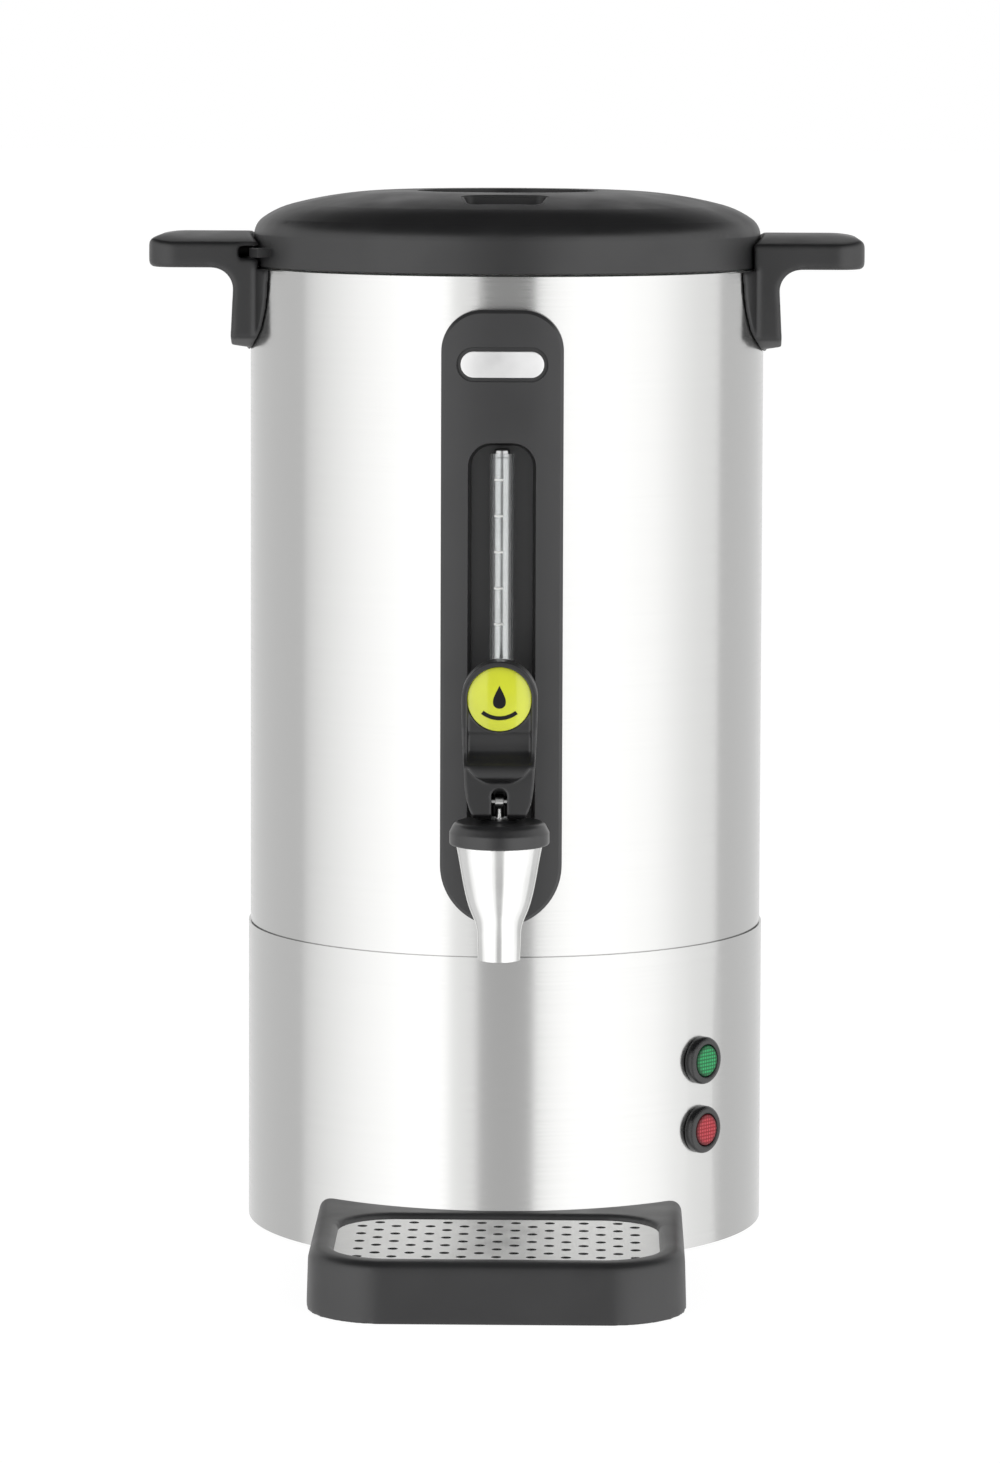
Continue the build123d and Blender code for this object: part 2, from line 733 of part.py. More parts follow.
# ---------------------------------------------------------------- front panel
panel_low_z = shank_z - panel_w / 2
panel_back_r = tank_r + tank_gap
face_y = -panel_face_r - 1
with BuildPart() as front_panel:
    with BuildSketch(on_front(0)):
        with Locations((0, shank_z)):
            Circle(panel_w / 2)
        with BuildLine():
            Polyline((-panel_w / 2, shank_z), (panel_w / 2, shank_z),
                     (panel_w / 2, panel_top_z), (-panel_w / 2, panel_top_z), close=True)
        make_face()
        fillet(vertices().group_by(Axis.Y)[-1], panel_corner)
    extrude(amount=panel_face_r + 10)
    add(wall_ring(panel_back_r, panel_face_r, panel_low_z - 5, panel_top_z + 5), mode=Mode.INTERSECT)
    rim_edges = front_panel.faces().sort_by(Axis.Y)[0].outer_wire().edges()
    chamfer(rim_edges, panel_bevel)
    for depth_y, shrink in ((face_y, 0), (recess_floor_y, recess_slope)):
        low, high = shank_z - recess_w / 2 + shrink, recess_top_z - shrink
        with BuildSketch(on_front(depth_y)):
            with Locations((0, (low + high) / 2)):
                Rectangle(recess_w - 2 * shrink, high - low)
            fillet(vertices().group_by(Axis.Y)[-1], recess_corner - shrink)
            fillet(vertices().group_by(Axis.Y)[0], recess_w / 2 - shrink - 0.1)
    loft(mode=Mode.SUBTRACT)
    with BuildSketch(on_front(face_y)):
        with Locations((0, shank_z)):
            Circle(coupling_r + 1)
    extrude(amount=face_y - tee_front_y - 1, mode=Mode.SUBTRACT)
    with BuildSketch(on_front(face_y)):
        with Locations((0, shank_z)):
            Circle(tee_r + slip)
    extrude(amount=-20, mode=Mode.SUBTRACT)
    with BuildSketch(on_front(face_y)):
        with Locations((0, badge_z)):
            SlotOverall(badge_l + 2 * badge_border, badge_h + 2 * badge_border)
    badge_pocket = extrude(amount=-20, mode=Mode.PRIVATE)
    add(badge_pocket & wall_ring(panel_face_r - badge_t, panel_face_r + 5, badge_z - 20, badge_z + 20),
        mode=Mode.SUBTRACT)
    with Locations(*[on_wall(0, height, tank_r) * Rot(180, 0, 0) for height in panel_screw_z]):
        Cylinder(panel_screw_r, 2 * panel_screw_grip, mode=Mode.SUBTRACT)
front_panel.part.label = "front_panel"
export_step(front_panel.part.moved(stand_shift), "parts/front_panel.step")

with BuildPart() as badge_plate:
    with BuildSketch(on_front(0)):
        with Locations((0, badge_z)):
            SlotOverall(badge_l, badge_h)
    extrude(amount=panel_face_r + 10)
    add(wall_ring(panel_face_r - badge_t, panel_face_r + 0.2, badge_z - badge_h, badge_z + badge_h),
        mode=Mode.INTERSECT)
badge_plate.part.label = "badge_plate"
export_step(badge_plate.part.moved(stand_shift), "parts/badge_plate.step")


panel_screws = bolt([place * Pos(0, 0, -screw_drop) for place in panel_screw_places],
                    panel_screw_r - fit, screw_drop + panel_screw_grip - 0.5, 4.0, 2.4)
panel_screws.label = "panel_screws"
export_step(panel_screws.moved(stand_shift), "parts/panel_screws.step")

# ---------------------------------------------------------------- tap
with BuildPart() as tap_body:
    with BuildSketch(tap_side):
        with BuildLine():
            wall = Polyline((0, spout_z), (spout_r, spout_z), (spout_r + spout_flare, spout_z + spout_h))
            flare = Spline(wall @ 1, (cone_foot_r, cone_foot_z), (cone_top_r, cone_top_z),
                           tangents=[(0.05, 1), (0.22, 1)])
            Polyline(flare @ 1, (thread_r, cone_top_z), (thread_r, cone_top_z + thread_h),
                     (0, cone_top_z + thread_h), wall @ 0)
        make_face()
    revolve(axis=tap_axis)
    with BuildSketch(on_front(neck_end_y)):
        with Locations((0, shank_z)):
            Circle(neck_r)
    extrude(amount=neck_end_y - tap_y)
    with BuildSketch(tap_side):
        with BuildLine():
            chamber_top_r = thread_r - tap_wall
            Polyline((0, spout_z - 1), (spout_bore_r, spout_z - 1), (spout_bore_r, seat_z - 1),
                     (spout_bore_r + 1, seat_z), (chamber_r, seat_z + 4), (chamber_top_r, cone_top_z - 4),
                     (chamber_top_r, cone_top_z + thread_h + 1), (0, cone_top_z + thread_h + 1),
                     close=True)
        make_face()
    revolve(axis=tap_axis, mode=Mode.SUBTRACT)
    with BuildSketch(on_front(neck_end_y + 1)):
        with Locations((0, shank_z)):
            Circle(shank_r + fit)
    extrude(amount=neck_end_y + 1 - shank_end_y, mode=Mode.SUBTRACT)
    with BuildSketch(on_front(shank_end_y)):
        with Locations((0, shank_z)):
            Circle(shank_bore_r)
    extrude(amount=shank_end_y - tap_y, mode=Mode.SUBTRACT)
tap_body.part.label = "tap_body"
export_step(tap_body.part.moved(stand_shift), "parts/tap_body.step")

with BuildPart() as tap_bonnet:
    with BuildSketch(tap_side):
        with BuildLine():
            Polyline((thread_r + slip, bonnet_z), (bonnet_r, bonnet_z), (bonnet_r, bonnet_z + 5),
                     (bonnet_top_r, bonnet_top_z), (guide_r + 1.5, bonnet_top_z), (guide_r, guide_top_z),
                     (stem_r + fit, guide_top_z), (stem_r + fit, bonnet_ceiling_z),
                     (thread_r + slip, bonnet_ceiling_z), close=True)
        make_face()
        fillet(vertices().sort_by_distance((bonnet_top_r, bonnet_top_z))[0], 3)
        fillet(vertices().sort_by_distance((bonnet_r, bonnet_z))[0], 1)
    revolve(axis=tap_axis)
tap_bonnet.part.label = "tap_bonnet"
export_step(tap_bonnet.part.moved(stand_shift), "parts/tap_bonnet.step")

stem_foot_z = seat_z + 6
with BuildPart() as tap_stem:
    with BuildSketch(Plane((0, tap_y, stem_foot_z))):
        Circle(stem_r)
    extrude(amount=pin_z - stem_foot_z)
    with BuildSketch(Plane((0, tap_y, spring_low_z))):
        Circle(spring_r + 1)
    extrude(amount=-1.2)
    with BuildSketch(Plane(origin=(-eye_w / 2, tap_y, pin_z), x_dir=(0, 1, 0), z_dir=(1, 0, 0))):
        Circle(eye_r)
    extrude(amount=eye_w)
    with BuildSketch(Plane(origin=(-eye_w / 2, tap_y, pin_z), x_dir=(0, 1, 0), z_dir=(1, 0, 0))):
        Circle(pin_r + fit)
    extrude(amount=eye_w, mode=Mode.SUBTRACT)
tap_stem.part.label = "tap_stem"
export_step(tap_stem.part.moved(stand_shift), "parts/tap_stem.step")

with BuildPart() as seat_cup:
    with BuildSketch(tap_side):
        with BuildLine():
            Polyline((0, seat_z - 1), (spout_bore_r - seat, seat_z - 0.6), (cup_r, seat_z + 2.6),
                     (cup_top_r, seat_z + 9), (cup_top_r - 1.5, seat_z + 12), (stem_r, seat_z + 12),
                     (stem_r, stem_foot_z), (0, stem_foot_z), close=True)
        make_face()
    revolve(axis=tap_axis)
seat_cup.part.label = "seat_cup"
export_step(seat_cup.part.moved(stand_shift), "parts/seat_cup.step")

spring_pitch = (bonnet_ceiling_z - spring_low_z - 2 * spring_wire_r) / spring_turns
with BuildPart() as tap_spring:
    with BuildLine(Plane((0, tap_y, spring_low_z + spring_wire_r))):
        coil = Helix(spring_pitch, spring_pitch * spring_turns, spring_r)
    with BuildSketch(Plane(origin=coil @ 0, z_dir=coil % 0)):
        Circle(spring_wire_r)
    sweep(path=coil, is_frenet=True)
tap_spring.part.label = "tap_spring"
export_step(tap_spring.part.moved(stand_shift), "parts/tap_spring.step")

with BuildPart() as lever_pin:
    with BuildSketch(Plane(origin=(-pin_l / 2, tap_y, pin_z), x_dir=(0, 1, 0), z_dir=(1, 0, 0))):
        Circle(pin_r)
    extrude(amount=pin_l)
lever_pin.part.label = "lever_pin"
export_step(lever_pin.part.moved(stand_shift), "parts/lever_pin.step")

# The lever's foot is a cam: its lowest point below the pin grows evenly with the angle, so the stem
# rises by stem_travel over the full pull.
cam_rate = stem_travel / radians(lever_travel)
foot_drop = pin_z - lever_bottom_z
side_on = Plane(origin=(0, tap_y, 0), x_dir=(0, -1, 0), z_dir=(-1, 0, 0))


def cam_point(angle):
    """Point of the foot that is lowest when the lever is pulled by the angle, forward and up."""
    reach = foot_drop + cam_rate * radians(angle)
    turn = radians(angle)
    return (reach * sin(turn) + cam_rate * cos(turn), pin_z - reach * cos(turn) + cam_rate * sin(turn))


lever_wide = head_r * 2 + 10
disc_front = head_front - disc_drop
bow_low_z = lip_z - lip_drop
with BuildPart() as tap_lever:
    with BuildSketch(side_on):
        with BuildLine():
            foot = Polyline((-foot_back, lever_bottom_z + 1.5), (-foot_back + 1.5, lever_bottom_z),
                            cam_point(0))
            cam = Spline(*[cam_point(lever_travel * i / 4) for i in range(5)])
            ankle = Line(cam @ 1, (ankle_front, bow_low_z - 0.5))
            under = Spline(ankle @ 1, (ankle_front + 3.4, bow_low_z + 1.8), (lip_front, lip_z - 1.4),
                           tangents=[(0.1, 1), (0.2, 1)])
            front = Spline(under @ 1, (lip_front - 1.2, lip_z + 1.4), (waist_front + 0.8, lip_z + 6),
                           (waist_front, lip_z + 12), (head_front, head_z - head_r + 4))
            Polyline(front @ 1, (head_front, head_z + head_r), (-head_back, head_z + head_r),
                     (-waist_back, lip_z + 6), (-foot_back, pin_z + 4), foot @ 0)
        make_face()
    extrude(amount=lever_wide / 2, both=True)
    with BuildSketch(on_front(tap_y)):
        with Locations((0, head_z)):
            Circle(head_r)
        with BuildLine():
            sides = [Spline((side * head_r, head_z), (side * waist_w / 2, lip_z + 13),
                            (side * lip_w / 2, lip_z - 4), (side * ankle_w / 2, pin_z - 1.3),
                            (side * lever_bottom_w / 2, lever_bottom_z), tangents=[(0, -1), (-side, -0.9)])
                     for side in (-1, 1)]
            Line(sides[0] @ 0, sides[1] @ 0)
            Line(sides[0] @ 1, sides[1] @ 1)
        make_face()
    extrude(amount=40, both=True, mode=Mode.INTERSECT)
    with BuildSketch(on_front(tap_y - lip_front - 5)):
        with BuildLine():
            bow = ThreePointArc((-lip_bow_w / 2, lip_z), (0, bow_low_z), (lip_bow_w / 2, lip_z))
            Polyline(bow @ 1, (lever_wide / 2, lip_z), (lever_wide / 2, bow_low_z - 1),
                     (-lever_wide / 2, bow_low_z - 1), (-lever_wide / 2, lip_z), bow @ 0)
        make_face()
    extrude(amount=-(lip_front + 5 - ankle_front), mode=Mode.SUBTRACT)
    with BuildSketch(on_front(tap_y)):
        with Locations((0, head_z)):
            Circle(dish_w / 2 + slip)
        with BuildLine():
            Polyline((-dish_w / 2, head_z), (-dish_w / 2, lip_z + 1.2), (dish_w / 2, lip_z + 1.2),
                     (dish_w / 2, head_z), close=True)
        make_face()
    dish_plan = extrude(amount=40, mode=Mode.PRIVATE)
    with BuildSketch(side_on):
        with BuildLine():
            scoop = Spline((lip_front + 1, lip_z), (lip_front - 2.6, lip_z + 2),
                           (dish_floor + 0.8, lip_z + 5.5), (dish_floor, lip_z + 10),
                           (disc_front, head_z - disc_r))
            Polyline(scoop @ 1, (disc_front, head_z + head_r + 5), (lip_front + 5, head_z + head_r + 5),
                     (lip_front + 5, lip_z), scoop @ 0)
        make_face()
    dish_depth = extrude(amount=dish_w, both=True, mode=Mode.PRIVATE)
    add(dish_plan & dish_depth, mode=Mode.SUBTRACT)
    with BuildSketch(on_front(tap_y - lip_front - 5)):
        with BuildLine():
            Polyline((-lever_slot_w / 2, lever_bottom_z - 5), (lever_slot_w / 2, lever_bottom_z - 5),
                     (lever_slot_w / 2, lever_slot_z - lever_slot_w / 2),
                     (-lever_slot_w / 2, lever_slot_z - lever_slot_w / 2), close=True)
        make_face()
        with Locations((0, lever_slot_z - lever_slot_w / 2)):
            Circle(lever_slot_w / 2)
    extrude(amount=-(lip_front + 5 + foot_back - 2), mode=Mode.SUBTRACT)
    with BuildSketch(Plane(origin=(-lever_wide / 2, tap_y, pin_z), x_dir=(0, 1, 0), z_dir=(1, 0, 0))):
        Circle(pin_r + fit)
    extrude(amount=lever_wide, mode=Mode.SUBTRACT)
    with BuildSketch(on_front(tap_y - disc_front)):
        with Locations((0, head_z)):
            Circle(disc_r + slip)
    extrude(amount=-disc_t, mode=Mode.SUBTRACT)
tap_lever.part.label = "tap_lever"
export_step(tap_lever.part.moved(stand_shift), "parts/tap_lever.step")

dome_r = (disc_r ** 2 + dome_h ** 2) / (2 * dome_h)
dome_half = atan2(disc_r, dome_r - dome_h) / 2
with BuildPart() as lever_disc:
    with BuildSketch(Plane((0, tap_y - disc_front, head_z))):
        with BuildLine():
            edge = Polyline((0, disc_t), (disc_r, disc_t), (disc_r, 0))
            dome = ThreePointArc(edge @ 1, (dome_r * sin(dome_half), dome_r * (1 - cos(dome_half)) - dome_h),
                                 (0, -dome_h))
            Line(dome @ 1, edge @ 0)
        make_face()
    revolve(axis=Axis((0, tap_y, head_z), (0, 1, 0)))
lever_disc.part.label = "lever_disc"
export_step(lever_disc.part.moved(stand_shift), "parts/lever_disc.step")

# ---------------------------------------------------------------- lid
shoulder = (lid_r - 0.2, lid_top_z - 18.7)
crown = [(lid_r - 3.9, lid_top_z - 11.9), (lid_r - 16.4, lid_top_z - 6.0), (well_r, lid_top_z - 0.2)]


def crown_line(drop):
    """Lid's crown as smooth arcs from its shoulder to the well, lowered and drawn in by a wall."""
    corner = TangentArc((shoulder[0] - drop, shoulder[1] - drop / 2),
                        (crown[0][0] - drop / 2, crown[0][1] - drop), tangent=(-0.05, 1))
    slope = TangentArc(corner @ 1, (crown[1][0] - drop / 2, crown[1][1] - drop), tangent=corner % 1)
    plateau = TangentArc(slope @ 1, (crown[2][0], crown[2][1] - drop), tangent=slope % 1)
    return corner @ 0, plateau @ 1


def vent_outline(inset):
    """Vent's plan on the front of the lid, narrower towards the lid's edge."""
    with BuildSketch() as outline:
        with BuildLine():
            Polyline((-vent_inner_w / 2 + inset, -vent_inner_r - inset),
                     (vent_inner_w / 2 - inset, -vent_inner_r - inset),
                     (vent_outer_w / 2 - inset, -vent_outer_r + inset),
                     (-vent_outer_w / 2 + inset, -vent_outer_r + inset), close=True)
        make_face()
        fillet(vertices(), vent_corner - inset)
    return outline.sketch


lug_azimuths = (180 + lug_rest, lug_rest)
pan_top_z = lid_skirt_z - pan_depth
with BuildPart() as lid_envelope:
    with BuildSketch(Plane.XZ):
        with BuildLine():
            foot, brim = crown_line(0)
            Polyline(brim, (0, brim.Y), (0, lid_skirt_z), (lid_r, lid_skirt_z), foot)
        make_face()
    revolve(axis=Axis.Z)

with BuildPart() as lid_shell:
    with BuildSketch(Plane.XZ):
        with BuildLine():
            foot, brim = crown_line(0)
            inner_foot, inner_brim = crown_line(lid_wall)
            Line(brim, inner_brim)
            Polyline(foot, (lid_r, lid_skirt_z), (lid_r - lid_wall, lid_skirt_z), inner_foot)
        make_face()
    revolve(axis=Axis.Z)
    with BuildSketch(Plane.XY.offset(pan_top_z)):
        with PolarLocations(lid_screw_ring_r, 4, 45):
            Circle(lid_boss_r)
    extrude(amount=lid_top_z - lid_wall + 0.3 - pan_top_z)
    with BuildSketch(Plane.XY.offset(pan_top_z)):
        with PolarLocations(lid_screw_ring_r, 4, 45):
            Circle(lid_screw_r)
    extrude(amount=screw_grip, mode=Mode.SUBTRACT)
    lug_root_r = lid_r - lid_wall + 0.5
    for azimuth in lug_azimuths:
        add(sector(lug_root_r, lug_r, lug_z, lug_z + lug_t, azimuth - lug_half, azimuth + lug_half))
    with BuildSketch(Plane.XY.offset(lid_skirt_z)):
        add(vent_outline(0))
    extrude(amount=lid_top_z - lid_skirt_z, mode=Mode.SUBTRACT)
lid_shell.part.label = "lid_shell"
export_step(lid_shell.part.moved(stand_shift), "parts/lid_shell.step")

vent_floor_z = lid_top_z - 4 - vent_depth
with BuildPart() as lid_vent:
    with BuildSketch(Plane.XY.offset(vent_floor_z - vent_floor_t)):
        add(vent_outline(slip))
    extrude(amount=lid_top_z - vent_floor_z)
    add(lid_envelope.part, mode=Mode.INTERSECT)
    with BuildSketch(Plane.XY.offset(vent_floor_z)):
        add(vent_outline(slip + vent_rim))
    extrude(amount=lid_top_z, mode=Mode.SUBTRACT)
    with BuildSketch(Plane.XY.offset(vent_floor_z - vent_floor_t - 1)):
        with Locations((0, -(vent_inner_r + vent_outer_r) / 2)):
            with GridLocations(0, 5, 1, 3):
                SlotOverall(vent_outer_w - 9, vent_slot_w)
    extrude(amount=vent_floor_t + 2, mode=Mode.SUBTRACT)
lid_vent.part.label = "lid_vent"
export_step(lid_vent.part.moved(stand_shift), "parts/lid_vent.step")

well_top_z = lid_top_z - 0.2
well_floor_z = well_top_z - well_depth
with BuildPart() as lid_grip:
    with BuildSketch(Plane.XZ):
        with BuildLine():
            Polyline((0, well_floor_z), (well_r - slip, well_floor_z), (well_r - slip, well_top_z),
                     (well_r - well_wall, well_top_z), (well_r - well_wall, well_floor_z + well_wall),
                     (0, well_floor_z + well_wall), close=True)
        make_face()
        fillet(vertices().sort_by_distance((well_r - well_wall, well_floor_z + well_wall))[0], 3)
    revolve(axis=Axis.Z)
    with BuildSketch(Plane.YZ.offset(-well_r)):
        with Locations((0, well_floor_z + (well_depth - bar_drop) / 2)):
            Rectangle(bar_w, well_depth - bar_drop)
        fillet(vertices().group_by(Axis.Y)[-1], 6)
    extrude(amount=2 * well_r)
    with Locations((0, 0, well_floor_z)):
        Cylinder(well_r - slip, 60, mode=Mode.INTERSECT)
lid_grip.part.label = "lid_grip"
export_step(lid_grip.part.moved(stand_shift), "parts/lid_grip.step")

flange_z = pan_top_z + pan_depth + seal_h - 0.5
with BuildPart() as lid_inner_pan:
    with BuildSketch(Plane.XZ):
        with BuildLine():
            Polyline((0, pan_top_z), (pan_r - pan_t, pan_top_z), (pan_r - pan_t, flange_z + pan_t),
                     (pan_r + pan_flange, flange_z + pan_t), (pan_r + pan_flange, flange_z),
                     (pan_r, flange_z), (pan_r, pan_top_z - pan_t), (0, pan_top_z - pan_t), close=True)
        make_face()
    revolve(axis=Axis.Z)
    with BuildSketch(Plane.XY.offset(pan_top_z - pan_t)):
        with PolarLocations(lid_screw_ring_r, 4, 45):
            Circle(lid_screw_r + slip)
        with Locations((0, -(vent_inner_r + vent_outer_r) / 2)):
            Circle(steam_hole_r)
    extrude(amount=pan_t, mode=Mode.SUBTRACT)
lid_inner_pan.part.label = "lid_inner_pan"
export_step(lid_inner_pan.part.moved(stand_shift), "parts/lid_inner_pan.step")

with BuildPart() as lid_seal:
    with BuildSketch(Plane.XY.offset(rim_z)):
        Circle(seal_outer_r)
        Circle(seal_r, mode=Mode.SUBTRACT)
    extrude(amount=flange_z - rim_z)
lid_seal.part.label = "lid_seal"
export_step(lid_seal.part.moved(stand_shift), "parts/lid_seal.step")

lid_screw_places = [Pos(*place.position) * Pos(0, 0, pan_top_z - pan_t)
                    for place in PolarLocations(lid_screw_ring_r, 4, 45)]
lid_screws = bolt(lid_screw_places, lid_screw_r - fit, pan_t + screw_grip - 0.5, 3.6, 2.2)
lid_screws.label = "lid_screws"
export_step(lid_screws.moved(stand_shift), "parts/lid_screws.step")

# ---------------------------------------------------------------- handles
crown_rise = handle_top_z - handle_edge_z
crown_r = (handle_half_w ** 2 + crown_rise ** 2) / (2 * crown_rise)
leg_back_r = tank_r + tank_gap
leg_root_x = sqrt(leg_back_r ** 2 - handle_half_w ** 2) - 8
slot_start = lug_rest - lock_turn - lug_half - 1
slot_end = lug_rest + lug_half + 1
with BuildPart() as handle_right:
    with BuildSketch(Plane.XY.offset(handle_under_z)):
        with BuildLine():
            Polyline((leg_root_x, -handle_half_w), (handle_tip_x, -handle_half_w),
                     (handle_tip_x, handle_half_w), (leg_root_x, handle_half_w), close=True)
        make_face()
        fillet(vertices().group_by(Axis.X)[-1], handle_corner)
    extrude(amount=handle_top_z - handle_under_z)
    with BuildSketch(Plane.YZ.offset(leg_root_x - 5)):
        with Locations((0, handle_top_z - crown_r)):
            Circle(crown_r)
    extrude(amount=80, mode=Mode.INTERSECT)
    with BuildSketch(Plane.XZ.offset(-handle_half_w)):
        with BuildLine():
            fall = Spline((handle_tip_x - handle_fall, handle_top_z), (handle_tip_x - 6, handle_top_z - 1),
                          (handle_tip_x, handle_tip_z), tangents=[(1, 0), (0.3, -1)])
            Polyline(fall @ 1, (handle_tip_x, handle_under_z), (leg_root_x - 5, handle_under_z),
                     (leg_root_x - 5, handle_top_z), fall @ 0)
        make_face()
    extrude(amount=2 * handle_half_w, mode=Mode.INTERSECT)
    grip_under = handle_right.faces().sort_by(Axis.Z)[0].edges().sort_by(Axis.X)[1:]
    fillet(grip_under, handle_round)
    with BuildSketch(Plane.XZ.offset(-handle_half_w)):
        with BuildLine():
            bend = RadiusArc((leg_top_x + leg_fillet, handle_under_z),
                             (leg_top_x, handle_under_z - leg_fillet), -leg_fillet)
            Polyline(bend @ 1, (leg_foot_x, leg_low_z), (leg_root_x, leg_tip_z),
                     (leg_root_x, handle_under_z + 1), (leg_top_x + leg_fillet, handle_under_z + 1), bend @ 0)
        make_face()
    leg_side = extrude(amount=2 * handle_half_w, mode=Mode.PRIVATE)
    with BuildSketch(Plane.YZ.offset(leg_root_x - 20)):
        with BuildLine():
            edges_down = [Spline((side * flange_half_w, rim_z), (side * (flange_half_w - 4), rim_z - 19),
                                 (side * (flange_half_w - 9.4), rim_z - 26.5),
                                 (side * (flange_half_w - 19.4), rim_z - 32), (side * 12, rim_z - 35.6),
                                 tangents=[(0, -1), (-side, -0.1)]) for side in (-1, 1)]
            Line(edges_down[0] @ 1, edges_down[1] @ 1)
            Polyline(edges_down[0] @ 0, (-flange_half_w, rim_z + 1), (flange_half_w, rim_z + 1),
                     edges_down[1] @ 0)
        make_face()
    flange = extrude(amount=60, mode=Mode.PRIVATE)
    add(leg_side & flange)
    add(flange & wall_ring(leg_back_r, leg_back_r + flange_t, leg_tip_z - 5, rim_z))
    with Locations((0, 0, rim_z)):
        Cylinder(leg_back_r, 100, align=(Align.CENTER, Align.CENTER, Align.MAX), mode=Mode.SUBTRACT)
        Cylinder(handle_in_r, 40, mode=Mode.SUBTRACT)
    add(sector(handle_in_r - 10, slot_r, slot_z, slot_z + slot_h, slot_start, slot_end), mode=Mode.SUBTRACT)
    with Locations(*handle_screw_places[:2]):
        Cylinder(screw_r, 2 * handle_screw_grip, mode=Mode.SUBTRACT)
handle_right.part.label = "handle_right"
export_step(handle_right.part.moved(stand_shift), "parts/handle_right.step")

with BuildPart() as handle_left:
    add(Rot(0, 0, 180) * handle_right.part)
handle_left.part.label = "handle_left"
export_step(handle_left.part.moved(stand_shift), "parts/handle_left.step")

handle_screws = bolt([place * Pos(0, 0, -screw_drop) for place in handle_screw_places],
                     screw_r - fit, screw_drop + handle_screw_grip - 0.5, 4.4, 2.8)
handle_screws.label = "handle_screws"
export_step(handle_screws.moved(stand_shift), "parts/handle_screws.step")

# ---------------------------------------------------------------- drip tray
def tray_outline():
    """Tray's plan: straight sides, rounded front corners, and a hollow back that hugs the skirt."""
    with BuildSketch() as outline:
        with Locations((0, tray_front_y / 2 - 20)):
            Rectangle(tray_w, -tray_front_y - 40)
        fillet(vertices().group_by(Axis.Y)[0], tray_corner)
        Circle(tray_back_r, mode=Mode.SUBTRACT)
        fillet(vertices().group_by(Axis.Y)[-1], tray_back_corner)
    return outline.sketch


def grid_outline(inset):
    """Opening for the drip grid, drawn in by an inset."""
    with BuildSketch() as outline:
        with Locations((0, (grid_front_y + grid_back_y) / 2)):
            RectangleRounded(2 * (grid_half_w - inset), grid_back_y - grid_front_y - 2 * inset,
                             grid_corner - inset)
    return outline.sketch


grid_z = tray_h - grid_drop
with BuildPart() as tray_body:
    with BuildSketch(Plane.XY):
        add(tray_outline())
    extrude(amount=tray_h, taper=tray_draft)
    fillet(tray_body.faces().sort_by(Axis.Z)[-1].edges().sort_by(Axis.Y)[:5], tray_round)
    with BuildSketch(Plane.XY.offset(grid_z - grid_t)):
        add(grid_outline(0))
    extrude(amount=tray_h, mode=Mode.SUBTRACT)
    with BuildSketch(Plane.XY.offset(sump_floor_z)):
        add(grid_outline(grid_ledge))
    extrude(amount=tray_h, mode=Mode.SUBTRACT)
tray_body.part.label = "tray_body"
export_step(tray_body.part.moved(stand_shift), "parts/tray_body.step")

with BuildPart() as drip_grid:
    with BuildSketch(Plane.XY.offset(grid_z - grid_t)):
        add(grid_outline(seat))
    extrude(amount=grid_t)
    with BuildSketch(Plane.XY.offset(grid_z - grid_t - 1)):
        with Locations((0, (grid_front_y + grid_back_y) / 2)):
            with GridLocations(2 * hole_pitch_x, hole_pitch_y, hole_columns // 2 + 1, hole_rows):
                Circle(hole_r)
            with GridLocations(2 * hole_pitch_x, hole_pitch_y, hole_columns // 2, hole_rows + 1):
                Circle(hole_r)
    extrude(amount=grid_t + 2, mode=Mode.SUBTRACT)
drip_grid.part.label = "drip_grid"
export_step(drip_grid.part.moved(stand_shift), "parts/drip_grid.step")

# ---------------------------------------------------------------- pilot lamps
lamps = {"green": lamp_green_z, "red": lamp_red_z}
for colour, height in lamps.items():
    lamp_plane = on_wall(lamp_azimuth, height)
    lamp_axis = Axis(lamp_plane.origin, lamp_plane.z_dir)
    with BuildPart() as bezel:
        with BuildSketch(lamp_plane):
            Circle(lamp_r)
        extrude(amount=lamp_flange)
        fillet(bezel.edges().filter_by(GeomType.CIRCLE).sort_by(lamp_axis)[-1], lamp_round)
        with BuildSketch(lamp_plane):
            Circle(lamp_body_r)
        extrude(amount=-lamp_body_l)
        with BuildSketch(lamp_plane.offset(lamp_flange)):
            Circle(lens_r)
        extrude(amount=-lamp_flange - lamp_body_l + 2, mode=Mode.SUBTRACT)
        mouth = bezel.edges().filter_by(GeomType.CIRCLE).group_by(lamp_axis)[-1].sort_by(SortBy.RADIUS)[0]
        fillet(mouth, lamp_inner_round)
        with BuildSketch(lamp_plane.offset(-lamp_body_l)):
            with GridLocations(7, 0, 2, 1):
                Rectangle(strap_t, tab_w)
        extrude(amount=-tab_l)
    bezel.part.label = f"lamp_bezel_{colour}"
    export_step(bezel.part.moved(stand_shift), f"parts/lamp_bezel_{colour}.step")

    with BuildPart() as lens:
        with BuildSketch(lamp_plane.offset(lamp_flange - lens_t)):
            Circle(lens_r - slip)
        extrude(amount=lens_t)
        fillet(lens.edges().filter_by(GeomType.CIRCLE).sort_by(lamp_axis)[-1], lens_round)
        with BuildSketch(lamp_plane.offset(lamp_flange - lens_t)):
            Circle(lens_r - slip)
            Circle(lens_r - slip - 1, mode=Mode.SUBTRACT)
        extrude(amount=-lamp_flange - lamp_body_l + 2 + lens_t)
    lens.part.label = f"lamp_lens_{colour}"
    export_step(lens.part.moved(stand_shift), f"parts/lamp_lens_{colour}.step")

